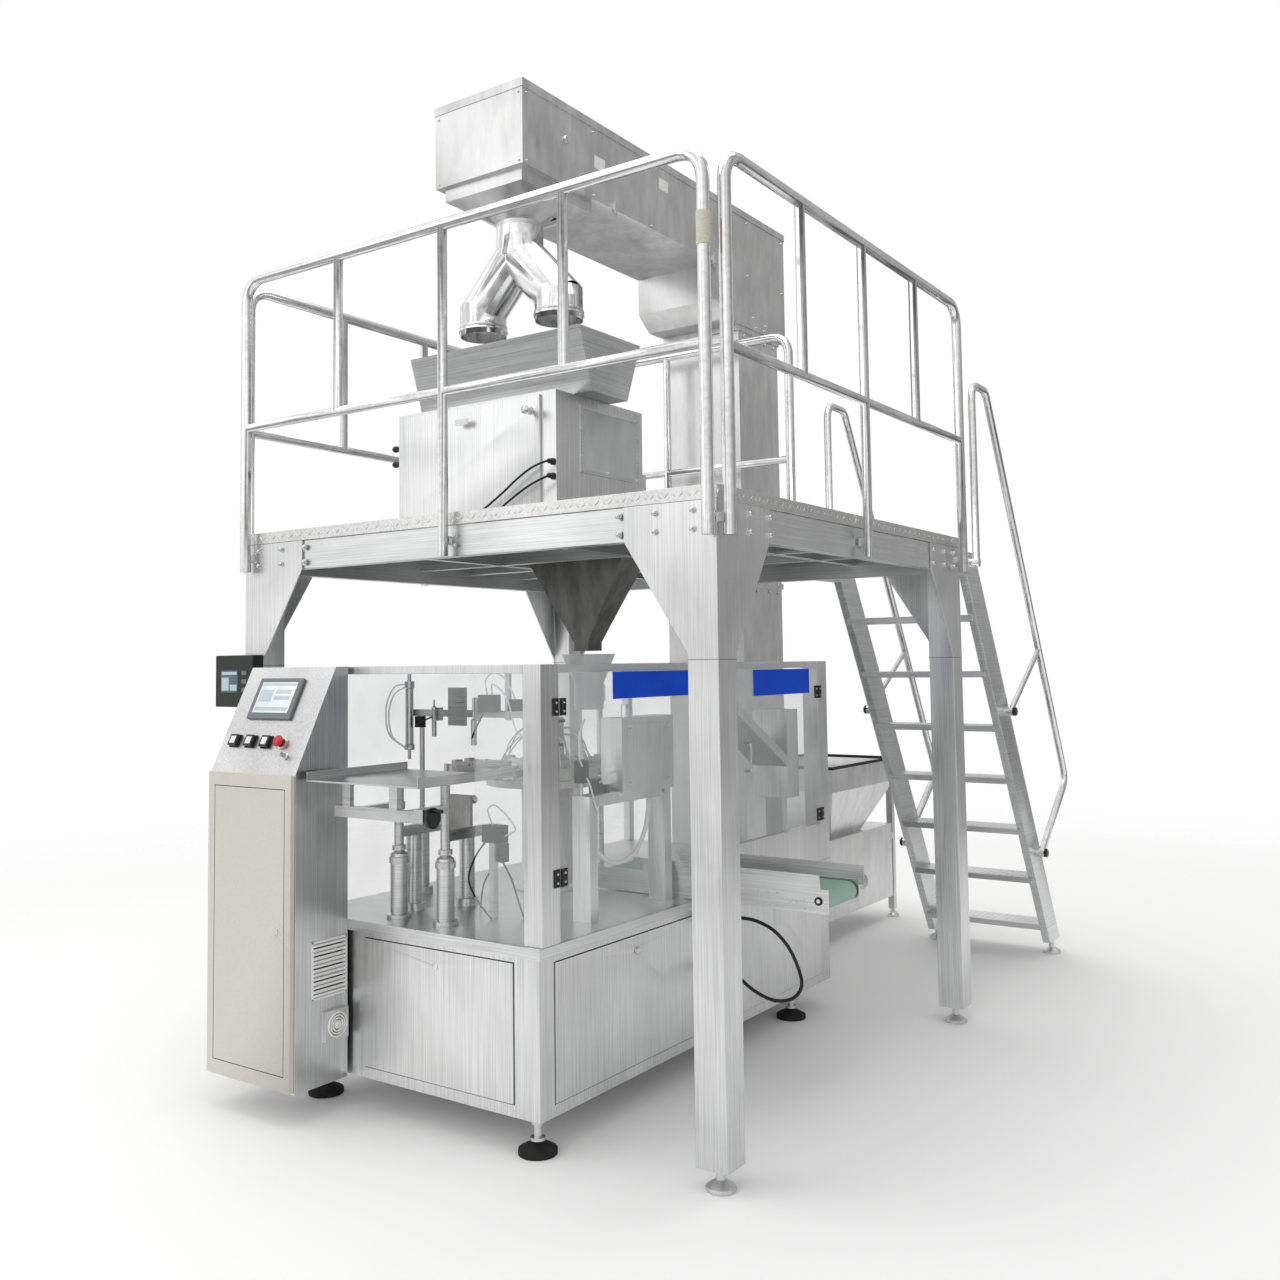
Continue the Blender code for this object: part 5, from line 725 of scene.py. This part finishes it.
def desk_blocks(name, spans, material, body="machine", bevel=0.001):
    """Blocks on the desk, each (x centre, up, width, height, from, to)."""
    bm = bmesh.new()
    for x, up, width, tall, low, high in spans:
        made = bmesh.ops.create_cube(bm, size=1.0)
        bmesh.ops.scale(bm, vec=(width, tall, high - low), verts=made["verts"])
        lean = Matrix((Vector((1, 0, 0)), slope, outward)).transposed().to_4x4()
        bmesh.ops.transform(bm, matrix=Matrix.Translation(on_desk(x, up, (low + high) / 2)) @ lean,
                            verts=made["verts"])
    return link(name, bm, material, body, bevel=bevel)


# Moulded ABS bezel: mid grey with a fine matt texture
bezel_abs = surface("moulded_abs_grey", 300.0, "#696d70", "#777b7e", (0.45, 0.58), 0.0002)
dressed("touch_screen", bezel_abs, 0.002)
# Backlit display behind glass: pale blue-grey, glossy
glass = surface("display_glass", 5.0, "#d6dfe4", "#eef2f4", (0.05, 0.09), Coat_Weight=0.6)
desk_blocks("screen_display", [(0.222, 0.298, 0.205, 0.128, 0.0118, 0.0128)], glass,
            bevel=0.0)
# Printed blocks on the display, without wording
tint = surface("display_tint", 8.0, "#b0c1cc", "#c6d2da", (0.08, 0.14))
desk_blocks("screen_fields", [
    (0.222, 0.352, 0.196, 0.010, 0.0126, 0.0130), (0.165, 0.305, 0.075, 0.050, 0.0126, 0.0130),
    (0.262, 0.322, 0.090, 0.016, 0.0126, 0.0130), (0.262, 0.296, 0.090, 0.016, 0.0126, 0.0130),
    (0.222, 0.250, 0.190, 0.014, 0.0126, 0.0130)], tint, bevel=0.0)

# Black glossy polycarbonate button with a pale lens
button_black = surface("polycarbonate_black", 200.0, "#101010", "#1e1e1e", (0.2, 0.32))
lens = surface("opal_lens", 40.0, "#d5d6d4", "#ebebea", (0.25, 0.36))
BUTTON_UP = 0.118
for name, x in (("left", 0.078), ("middle", 0.170), ("right", 0.262)):
    node = "push_button_" + name
    dressed(node, button_black, 0.0015)
    desk_blocks(node + "_lens", [(x, BUTTON_UP, 0.029, 0.029, 0.017, 0.0192)], lens, node + "_body",
                0.001)
    desk_blocks(node + "_surround", [(x, BUTTON_UP, 0.052, 0.052, 0.0, 0.0045)], button_black,
                bevel=0.0015)
# Red stop head: moulded, satin; its collar is plated
stop_red = surface("moulded_red", 60.0, "#b51d24", "#d12d33", (0.3, 0.42))
dressed("estop_button", stop_red, 0.001)
COLLAR = [(0.026, 0.0), (0.026, 0.004), (0.020, 0.006)]
turned_piece("stop_collar", [(on_desk(0.345, BUTTON_UP), outward, COLLAR)], bright)
dressed("key_switch", bright, 0.0006)
RING, RING_STEPS = 0.013, 24
ring = []
for i in range(RING_STEPS + 1):
    angle = 2 * math.pi * i / RING_STEPS
    ring.append(on_desk(0.400, 0.065, 0.036) + Vector((RING * math.cos(angle), -0.006,
                                                       RING * math.sin(angle) - 0.012)))
tube_curve("key_ring", ring, 0.0009, bright, "key_switch_body", 3)

# White moulded ventilation grille and the round fan guard on the cabinet's side
white_abs = surface("moulded_abs_white", 220.0, "#e2e2df", "#f0f0ee", (0.4, 0.52), 0.0002)
SIDE = -1.568
GRILLE_FACE = SIDE + 0.006
grille = [((SIDE, -0.292, 0.434), (GRILLE_FACE, -0.284, 0.646)),
          ((SIDE, -0.132, 0.434), (GRILLE_FACE, -0.124, 0.646)),
          ((SIDE, -0.292, 0.434), (GRILLE_FACE, -0.124, 0.442)),
          ((SIDE, -0.292, 0.638), (GRILLE_FACE, -0.124, 0.646))]
SLATS, SLAT_PITCH, SLAT = 13, 0.0150, 0.0085
for i in range(SLATS):
    z = 0.445 + i * SLAT_PITCH
    grille.append(((SIDE, -0.285, z), (SIDE + 0.0075, -0.131, z + SLAT)))
boxes("cabinet_grille", grille, white_abs, bevel=0.001)
FAN = at(SIDE + 0.020, -0.183, 0.33)
HUB = [(0.010, 0), (0.010, 0.005), (0.006, 0.007), (0, 0.007)]
rings = [(FAN, TO_RIGHT, [(r, 0.0), (r, 0.004), (r - 0.003, 0.006), (r - 0.006, 0.004), (r - 0.006, 0.0)])
         for r in (0.046, 0.036, 0.026, 0.016)]
turned_piece("fan_guard", [*rings, (FAN, TO_RIGHT, HUB)], white_abs)


# Weigher's operator panel
# A black moulded case beside the left leg, on a steel bracket, with a small lit display.

case_black = surface("moulded_abs_black", 260.0, "#151617", "#242527", (0.42, 0.58), 0.0002)
dressed("remote_screen", case_black, 0.004)
teal = surface("display_teal", 9.0, "#38535f", "#4d7582", (0.07, 0.13))
DISPLAY_FACE = -0.0916
boxes("remote_display", [((-2.372, -0.0912, 1.548), (-2.262, -0.0898, 1.640))], teal,
      bevel=0.0)
boxes("remote_display_fields", [
    ((x0, DISPLAY_FACE, z0), (x1, -0.0910, z1)) for x0, x1, z0, z1 in (
        (-2.366, -2.268, 1.622, 1.634), (-2.366, -2.320, 1.556, 1.610), (-2.312, -2.268, 1.556, 1.580))
], tint, bevel=0.0)
boxes("remote_keys", [((-2.235, -0.0925, z), (-2.205, -0.0895, z + 0.018)) for z in (1.550, 1.585, 1.620)],
      bezel_abs, bevel=0.001)


# Carousel
# Eight gripper pairs on an aluminium table over a bearing housing, driven from the indexing box in
# the base. Air valves and clear hoses ride round with it.

dressed("carousel_pedestal", alloy, 0.002)
dressed("carousel_turntable", alloy, 0.0012)
# Grey hammered cast iron of the indexing box
cast = surface("grey_cast_iron", 70.0, "#5f666c", "#7a8187", (0.45, 0.62), 0.0006)
dressed("indexing_drive", cast, 0.003)
# Black anodised aluminium blocks
anodised = surface("black_anodised", 140.0, "#151517", "#2a2a2e", (0.3, 0.46), 0.0001, metallic=0.6)
# Polyurethane hose: milky, half clear
hose = surface("polyurethane_hose", 30.0, "#e2e6e6", "#f7f8f8", (0.15, 0.3), Alpha=0.72)

CENTRE = (-1.33, 0.80)
STATIONS, FIRST_STATION = 8, math.radians(-79.5)
STATION_HOSE = 0.003
table = "carousel_turntable_body"


def around(radius, angle, z):
    """A point round the carousel's axis."""
    return at(CENTRE[0] + radius * math.cos(angle), CENTRE[1] + radius * math.sin(angle), z)


def add_block(bm, centre, out, size):
    """A block whose first side runs along a level direction."""
    out = Vector(out).normalized()
    made = bmesh.ops.create_cube(bm, size=1.0)
    bmesh.ops.scale(bm, vec=size, verts=made["verts"])
    lean = Matrix((out, Vector((0, 0, 1)).cross(out), Vector((0, 0, 1)))).transposed().to_4x4()
    bmesh.ops.transform(bm, matrix=Matrix.Translation(centre) @ lean, verts=made["verts"])


valve_mesh, bracket_mesh, cylinder_parts, pin_parts = bmesh.new(), bmesh.new(), [], []
for i in range(STATIONS):
    angle = FIRST_STATION + 2 * math.pi * i / STATIONS
    out = Vector((math.cos(angle), math.sin(angle), 0))
    cross = Vector((-out.y, out.x, 0))
    add_block(valve_mesh, around(0.205, angle, 1.196), out, (0.050, 0.034, 0.030))
    add_block(bracket_mesh, around(0.150, angle, 1.190), out, (0.030, 0.050, 0.040))
    for hand in (-1, 1):
        place = around(0.225, angle, 1.182) + cross * 0.047 * hand
        cylinder_parts.append((place, out, [(0.0095, 0.0), (0.0095, 0.075), (0.006, 0.078), (0.0035, 0.080),
                                            (0.0035, 0.105), (0, 0.106)]))
        pin_parts.append((around(0.330, angle, 1.2) + cross * 0.052 * hand, UP,
                          [(0.007, 0.0), (0.007, 0.030), (0.004, 0.033), (0, 0.034)]))
    start = around(0.068, angle, 1.375)
    path = smooth_path([start, around(0.115, angle, 1.372), around(0.165, angle, 1.32),
                        around(0.190, angle, 1.25), around(0.200, angle, 1.211)], 18)
    tube_curve(f"station_hose_{i + 1}", path, STATION_HOSE, hose, table, sides=3)
    other = smooth_path([around(0.068, angle + 0.18, 1.350), around(0.125, angle + 0.2, 1.335),
                         around(0.185, angle + 0.22, 1.27), around(0.225, angle + 0.2, 1.193)], 18)
    tube_curve(f"station_return_{i + 1}", other, STATION_HOSE, hose, table, sides=3)
link("station_valves", valve_mesh, anodised, table, bevel=0.0015)
link("station_brackets", bracket_mesh, alloy, table, bevel=0.0015)
turned_piece("station_cylinders", cylinder_parts, bright, table)
turned_piece("station_pins", pin_parts, bright, table)
BAND = [(0.079, 0), (0.081, 0.003), (0.081, 0.009), (0.079, 0.012)]
turned_piece("manifold_rings", [(at(*CENTRE, z), UP, BAND) for z in (1.24, 1.30, 1.40)], anodised, table)


# Bag magazine and pick arm
# A folded tray on two slotted columns holds the flat pouches; a handwheel sets its width, and two
# suction cups on the rocking arm take one pouch at a time.

dressed("bag_magazine", satin_level, 0.0012)
dressed("magazine_handwheel", phenolic, 0.0015)
dressed("bag_pick_arm", alloy, 0.001)
COLLARS = (
    (0.7006, [(0.047, 0.0), (0.047, 0.014), (0.036, 0.018), (0.0335, 0.018)]),
    (0.905, [(0.0335, 0.0), (0.038, 0.001), (0.038, 0.024), (0.0335, 0.025)]),
    (0.952, [(0.0185, 0.0), (0.026, 0.002), (0.026, 0.020), (0.0185, 0.022)]),
)
collars = [(at(x, 0.012, z), UP, profile) for x in (-1.424, -1.185) for z, profile in COLLARS]
turned_piece("column_collars", collars, bright)


# Pouch opener bridge
# A bar on two posts across the front of the carousel carries the pouch openers: an air cylinder, a
# guard plate, black valve blocks and their clear and black polyurethane hoses.

boxes("opener_bridge", [
    ((-1.715, 0.365, 1.440), (-0.985, 0.392, 1.468)), ((-1.015, 0.363, 0.7006), (-0.985, 0.393, 1.4405)),
    ((-1.183, 0.352, 1.432), (-1.160, 0.366, 1.640)), ((-1.492, 0.356, 1.405), (-1.395, 0.3655, 1.560)),
    ((-1.350, 0.350, 1.425), (-1.318, 0.366, 1.520)), ((-1.060, 0.345, 1.425), (-1.035, 0.366, 1.560)),
    ((-1.560, 0.340, 1.425), (-1.528, 0.366, 1.478))], satin_level, bevel=0.001)
boxes("opener_valves", [
    ((-1.300, 0.322, 1.462), (-1.215, 0.3655, 1.532)), ((-1.145, 0.322, 1.470), (-1.075, 0.3655, 1.515)),
    ((-1.665, 0.340, 1.395), (-1.625, 0.3655, 1.4402)), ((-1.130, 0.150, 0.985), (-1.040, 0.200, 1.050)),
    ((-1.130, 0.205, 0.905), (-1.075, 0.245, 0.975))], anodised, bevel=0.0015)
boxes("valve_stand", [((-1.118, 0.178, 0.7006), (-1.094, 0.204, 0.986))], satin_level, bevel=0.001)
cylinders = [
    (at(-1.700, 0.420, 1.0002), UP, [(0.011, 0.0), (0.011, 0.445)]),
    (at(-1.700, 0.345, 1.300), UP, [
        (0.019, 0), (0.021, 0.003), (0.021, 0.022), (0.017, 0.026), (0.017, 0.255),
        (0.021, 0.259), (0.021, 0.285), (0.008, 0.288), (0.008, 0.320), (0, 0.322)]),
    (at(-1.700, 0.345, 1.262), UP, [(0.007, 0.0), (0.007, 0.040)]),
    (at(-1.334, 0.338, 1.330), UP, [
        (0.010, 0.0), (0.012, 0.002), (0.012, 0.100), (0.006, 0.104), (0.006, 0.190)]),
    (at(-1.048, 0.332, 1.350), UP, [
        (0.009, 0.0), (0.012, 0.003), (0.012, 0.140), (0.005, 0.146), (0.005, 0.205)]),
    (at(-1.544, 0.330, 1.360), UP, [
        (0.008, 0.0), (0.010, 0.003), (0.010, 0.120), (0.004, 0.124), (0.004, 0.150)]),
]
turned_piece("opener_cylinders", cylinders, bright)


def hoses(name, runs, radius, material, count=24, sides=3):
    """A numbered hose along each run of points, given from the platform's front right corner."""
    for i, run in enumerate(runs):
        path = smooth_path([at(*point) for point in run], count)
        tube_curve(f"{name}_{i + 1}", path, radius, material, sides=sides)


CLEAR_RUNS = (
    ((-1.70, 0.322, 1.575), (-1.735, 0.29, 1.56), (-1.765, 0.275, 1.48), (-1.755, 0.28, 1.37),
     (-1.712, 0.325, 1.312)),
    ((-1.70, 0.325, 1.565), (-1.725, 0.28, 1.53), (-1.745, 0.27, 1.45), (-1.735, 0.28, 1.36),
     (-1.705, 0.325, 1.310)),
    ((-1.26, 0.335, 1.534), (-1.255, 0.32, 1.590), (-1.205, 0.315, 1.620), (-1.150, 0.32, 1.590),
     (-1.115, 0.335, 1.517)),
    ((-1.235, 0.335, 1.534), (-1.20, 0.30, 1.575), (-1.12, 0.29, 1.52), (-1.085, 0.30, 1.40),
     (-1.052, 0.322, 1.372)),
    ((-1.085, 0.16, 1.052), (-1.08, 0.13, 1.11), (-1.02, 0.11, 1.13), (-0.965, 0.15, 1.05),
     (-1.040, 0.178, 1.01)),
)
BLACK_RUNS = (
    ((-1.28, 0.335, 1.462), (-1.285, 0.31, 1.42), (-1.31, 0.31, 1.38), (-1.334, 0.326, 1.36)),
    ((-1.648, 0.338, 1.42), (-1.62, 0.30, 1.40), (-1.585, 0.295, 1.42), (-1.548, 0.320, 1.44)),
    ((-1.11, 0.15, 0.99), (-1.13, 0.11, 0.93), (-1.15, 0.10, 0.85), (-1.12, 0.12, 0.77),
     (-1.09, 0.16, 0.702)),
    ((-1.09, 0.225, 0.905), (-1.06, 0.24, 0.84), (-1.03, 0.24, 0.77), (-1.01, 0.25, 0.702)),
    ((-1.424, 0.047, 0.90), (-1.46, 0.08, 0.88), (-1.50, 0.10, 0.80), (-1.48, 0.11, 0.702)),
    ((-1.185, 0.047, 0.90), (-1.22, 0.09, 0.87), (-1.26, 0.11, 0.79), (-1.25, 0.12, 0.702)),
    ((-1.12, 0.245, 0.95), (-1.18, 0.30, 0.90), (-1.25, 0.30, 0.80), (-1.27, 0.30, 0.702)),
)
HOSE_RADIUS = 0.0035
hoses("opener_clear_hose", CLEAR_RUNS, HOSE_RADIUS, hose)
hoses("opener_black_hose", BLACK_RUNS, HOSE_RADIUS, rubber_sheath)


# Filling funnel, seal unit and reject chute
# The clear cone drops into the open pouch. The seal unit's jaws close on its top edge, and rejects
# slide down the folded chute at the back of the right side.

# Clear polycarbonate, faintly clouded by the product that runs down it
clear_funnel = surface("clear_polycarbonate", 14.0, "#dfe3e4", "#f3f5f5", (0.06, 0.14),
                       stretch=(1, 1, 0.3), Alpha=0.45)
dressed("fill_funnel", clear_funnel, 0.0006)
dressed("seal_unit", satin, 0.0015)
dressed("seal_jaw", bright, 0.001)
dressed("reject_chute", satin, 0.0015)
PANEL_FACE = -0.7225
boxes("seal_unit_panel", [((-0.7252, 0.535, 1.175), (PANEL_FACE, 0.835, 1.415))], satin,
      bevel=0.001)
turned_piece("seal_unit_screws", [(at(PANEL_FACE, y, z), TO_RIGHT, [(0.006, 0), (0.006, 0.002), (0, 0.0035)])
                                  for y in (0.55, 0.82) for z in (1.19, 1.40)], bright)
boxes("seal_unit_valves", [
    ((-0.818, 0.318, 1.205), (-0.778, 0.358, 1.290)), ((-0.812, 0.400, 1.1600), (-0.775, 0.440, 1.215)),
    ((-0.800, 0.452, 1.1600), (-0.770, 0.482, 1.190))], anodised, bevel=0.0015)
turned_piece("seal_unit_rods", [
    (at(-0.798, 0.338, 1.1600), UP, [(0.006, 0.0), (0.006, 0.055)]),
    (at(-0.798, 0.338, 1.290), UP, [
        (0.008, 0.0), (0.009, 0.003), (0.009, 0.070), (0.004, 0.074), (0.004, 0.13)])], bright)
hoses("seal_unit_tube", (
    ((-0.780, 0.318, 1.270), (-0.765, 0.280, 1.310), (-0.755, 0.270, 1.390), (-0.775, 0.330, 1.440),
     (-0.798, 0.338, 1.420)),
    ((-0.776, 0.340, 1.225), (-0.745, 0.320, 1.200), (-0.730, 0.330, 1.130), (-0.735, 0.380, 1.060),
     (-0.775, 0.420, 1.05)),
    ((-0.775, 0.420, 1.200), (-0.745, 0.430, 1.230), (-0.742, 0.470, 1.240), (-0.768, 0.500, 1.235))),
      HOSE_RADIUS, hose)
seal_hose = smooth_path([at(-0.775, 0.36, 1.05), at(-0.752, 0.34, 0.99), at(-0.735, 0.38, 0.93),
                         at(-0.722, 0.46, 0.90), at(-0.715, 0.56, 0.925), at(-0.720, 0.64, 1.00),
                         at(-0.735, 0.69, 1.09), at(-0.752, 0.71, 1.145)], 40)
tube_curve("seal_unit_hose", seal_hose, 0.009, hose)


# Discharge conveyor
# Two side plates with a green PVC belt running over two rollers, and flared guide plates. Domed
# screws hold the bearings, and the drive roller's shaft end shows in its bearing cap.

dressed("conveyor_frame", satin_level, 0.0012)
# Green PVC belt: matt, with the weave of the cloth under it showing at 4 mm
belt_green = surface("green_pvc_belt", 250.0, "#86ab9b", "#9fc0b2", (0.5, 0.66), 0.0003)
dressed("conveyor_belt", belt_green, smooth=60.0)
for node in ("conveyor_drive_roller", "conveyor_tail_roller"):
    dressed(node, bright, smooth=40.0)
NEAR_SIDE, FAR_SIDE = 0.88, 1.16
side_bolts = [(at(x, NEAR_SIDE, z), TO_FRONT) for x in (-0.354, -0.312, -0.272) for z in (0.716, 0.765)]
side_bolts += [(at(x, NEAR_SIDE, z), TO_FRONT)
               for x, z in ((-0.219, 0.738), (-0.192, 0.741), (-0.160, 0.752), (-0.160, 0.718))]
side_bolts += [(at(x, FAR_SIDE, z), TO_BACK) for x in (-0.354, -0.312) for z in (0.716, 0.765)]
repeated("conveyor_bolts", hex_bolt, side_bolts, 0.010, bright)
turned_piece("bearing_caps", [(at(-0.10, NEAR_SIDE, 0.751), TO_FRONT, [
    (0.016, 0.0), (0.016, 0.004), (0.0115, 0.006), (0.0115, 0.003), (0.0095, 0.003)])], anodised)
turned_piece("cable_nut", [(at(-0.53, 0.985, 0.628), TO_RIGHT, [
    (0.0135, 0.0), (0.0135, 0.010), (0.011, 0.012), (0.011, 0.0245), (0.0074, 0.0248)])], bright)


# Weigher
# A satin housing on the deck with a drop-front door, a side window and two data leads, fed through
# a wide folded hopper; its bucket opens over the discharge funnel.

dressed("weigher_cabinet", satin, 0.002)
dressed("weigher_door", satin, 0.002)
dressed("weigher_pans", polished, smooth=40.0)
dressed("weigher_hopper", satin_level, 0.001)
dressed("weigh_bucket_gate", satin, 0.0008)
# The discharge funnel is 2B sheet painted darker and rougher: painted shade standing for the shade and dark
# reflection under the deck
shade_darkened_mill = steel("shade_darkened_stainless_2b", "#6f6f6b", "#93938e", (0.32, 0.44), (18.0, 18.0, 5.0), 0.0001)
dressed("discharge_funnel", shade_darkened_mill, 0.001)
DOOR_FACE = 0.43 - 0.0403
boxes("door_slot", [((-1.475, DOOR_FACE - 0.002, 2.645), (-1.405, DOOR_FACE + 0.002, 2.671))], white_abs,
      "weigher_door_body", 0.001)
WINDOW_BACK, WINDOW_FACE = -0.9755, -0.9705
boxes("window_frame", [
    ((WINDOW_BACK, 0.585, 2.425), (WINDOW_FACE, 0.605, 2.705)),
    ((WINDOW_BACK, 0.985, 2.425), (WINDOW_FACE, 1.005, 2.705)),
    ((WINDOW_BACK, 0.605, 2.425), (WINDOW_FACE, 0.985, 2.443)),
    ((WINDOW_BACK, 0.605, 2.687), (WINDOW_FACE, 0.985, 2.705)),
], satin_level, bevel=0.001)
hoses("weigher_lead", (
    ((-0.990, 0.425, 2.450), (-0.992, 0.385, 2.446), (-1.050, 0.368, 2.425), (-1.120, 0.360, 2.385),
     (-1.200, 0.362, 2.335), (-1.330, 0.372, 2.268), (-1.420, 0.380, 2.232)),
    ((-0.990, 0.425, 2.392), (-0.992, 0.385, 2.385), (-1.050, 0.368, 2.360), (-1.120, 0.362, 2.325),
     (-1.200, 0.364, 2.282), (-1.290, 0.372, 2.240), (-1.320, 0.380, 2.229))),
      0.0045, rubber_sheath, 40, 6)
LEAD_PLUG = [(0.014, 0.0), (0.014, 0.008), (0.0105, 0.012), (0.0105, 0.028), (0.0075, 0.036), (0.0048, 0.040)]
CELL_PLUG = [(0.016, 0.0), (0.016, 0.012), (0.012, 0.015), (0.012, 0.040), (0.014, 0.042), (0.014, 0.056),
             (0.007, 0.066), (0, 0.067)]
turned_piece("lead_plugs", [(at(-0.990, 0.4302, z), TO_FRONT, LEAD_PLUG) for z in (2.450, 2.392)], case_black)
turned_piece("load_cell_plugs", [(at(-1.8448, 0.46, z), TO_LEFT, CELL_PLUG) for z in (2.604, 2.536)],
             case_black)
turned_piece("door_knob_cap", [(at(-1.08, DOOR_FACE - 0.0202, 2.66), TO_FRONT,
                               [(0.015, 0.0), (0.018, 0.004), (0.018, 0.010), (0.014, 0.013), (0, 0.014)])],
             bright, "weigher_door_body")
boxes("window_pane", [((-0.9748, 0.603, 2.441), (-0.9718, 0.987, 2.689))], clear_funnel,
      bevel=0.0)
turned_piece("window_screws", [(at(WINDOW_FACE, y, z), TO_RIGHT, [(0.006, 0), (0.006, 0.002), (0, 0.004)])
                               for y in (0.595, 0.995) for z in (2.434, 2.696)], bright)


# Bucket elevator and diverter duct
# Folded mill-finish casings bolted by flanges: the head with its lid, the column and the boot. The
# round duct splits to two outlets over the hopper and is held by clamp bands.

dressed("elevator_head", mill, 0.002)
dressed("elevator_column", mill, 0.0015)
dressed("elevator_boot", mill, 0.0015)
dressed("elevator_head_shaft", bright, 0.001)
dressed("y_duct", polished, smooth=50.0)
flange_bolts = [(at(-1.175, y, z), TO_RIGHT) for z in (0.62, 2.03, 2.07, 3.40)
                for y in (2.33, 2.43, 2.57, 2.67)]
repeated("column_bolts", hex_bolt, flange_bolts, 0.014, bright)
HEAD_LEFT, HEAD_RIGHT, HEAD_FRONT = -1.655, -1.165, 0.465
SCREW_ROWS_Z = (4.025, 3.735)
sheet_screws = []
for y in (0.49, 0.96, 1.43, 1.9, 2.37, 2.77):
    for z in SCREW_ROWS_Z:
        sheet_screws += [(at(HEAD_RIGHT, y, z), TO_RIGHT), (at(HEAD_LEFT, y, z), TO_LEFT)]
for x in (HEAD_LEFT + 0.02, HEAD_RIGHT - 0.02):
    sheet_screws += [(at(x, HEAD_FRONT, z), TO_FRONT) for z in SCREW_ROWS_Z]
for y, z in ((2.424, 3.518), (2.565, 3.501), (2.46, 3.47), (2.544, 3.47)):
    sheet_screws.append((at(HEAD_RIGHT, y, z), TO_RIGHT))
repeated("head_screws", hex_bolt, sheet_screws, 0.010, bright)
bm = bmesh.new()
for y in (1.116, 2.0):
    add_box(bm, (HEAD_RIGHT, y - 0.012, 3.70), (HEAD_RIGHT + 0.010, y + 0.012, 3.745))
    add_box(bm, (HEAD_RIGHT + 0.008, y - 0.006, 3.685), (HEAD_RIGHT + 0.014, y + 0.006, 3.755))
link("head_latches", bm, bright, bevel=0.001)
# Infeed hopper: a black band round its rim, painted shade standing for the edge shadow along the rim
RIM_LOW, RIM_HIGH = (-1.715, 3.16), (-1.105, 4.08)
LIP = 0.006
RIM_FOOT, RIM_TOP, PROUD = 1.018, 1.036, 0.002
boxes("hopper_edging", [
    ((RIM_LOW[0] - PROUD, RIM_LOW[1] - PROUD, RIM_FOOT), (RIM_HIGH[0] + PROUD, RIM_LOW[1] + LIP, RIM_TOP)),
    ((RIM_LOW[0] - PROUD, RIM_HIGH[1] - LIP, RIM_FOOT), (RIM_HIGH[0] + PROUD, RIM_HIGH[1] + PROUD, RIM_TOP)),
    ((RIM_LOW[0] - PROUD, RIM_LOW[1], RIM_FOOT), (RIM_LOW[0] + LIP, RIM_HIGH[1], RIM_TOP)),
    ((RIM_HIGH[0] - LIP, RIM_LOW[1], RIM_FOOT), (RIM_HIGH[0] + PROUD, RIM_HIGH[1], RIM_TOP)),
], rubber_sheath, bevel=0.002)
# Blank printed labels on the casing's side
label = surface("vinyl_label", 25.0, "#e6e6e4", "#f6f6f5", (0.35, 0.48))
boxes("casing_labels", [((HEAD_RIGHT, 0.97, 3.865), (HEAD_RIGHT + 0.0006, 1.05, 3.925)),
                        ((HEAD_RIGHT, 1.50, 3.94), (HEAD_RIGHT + 0.0006, 1.58, 3.995))], label,
      bevel=0.0)
DUCT_X, OUTLET_SPREAD = -1.41, 0.215
CLAMP = [(0.1062, 0.0), (0.108, 0.003), (0.108, 0.012), (0.1062, 0.015)]
turned_piece("duct_clamps", [(at(DUCT_X + way * OUTLET_SPREAD, 0.74, 3.150), UP, CLAMP) for way in (-1, 1)],
             bright)

for helper in (hex_bolt, tread_bar):
    bpy.data.objects.remove(helper)
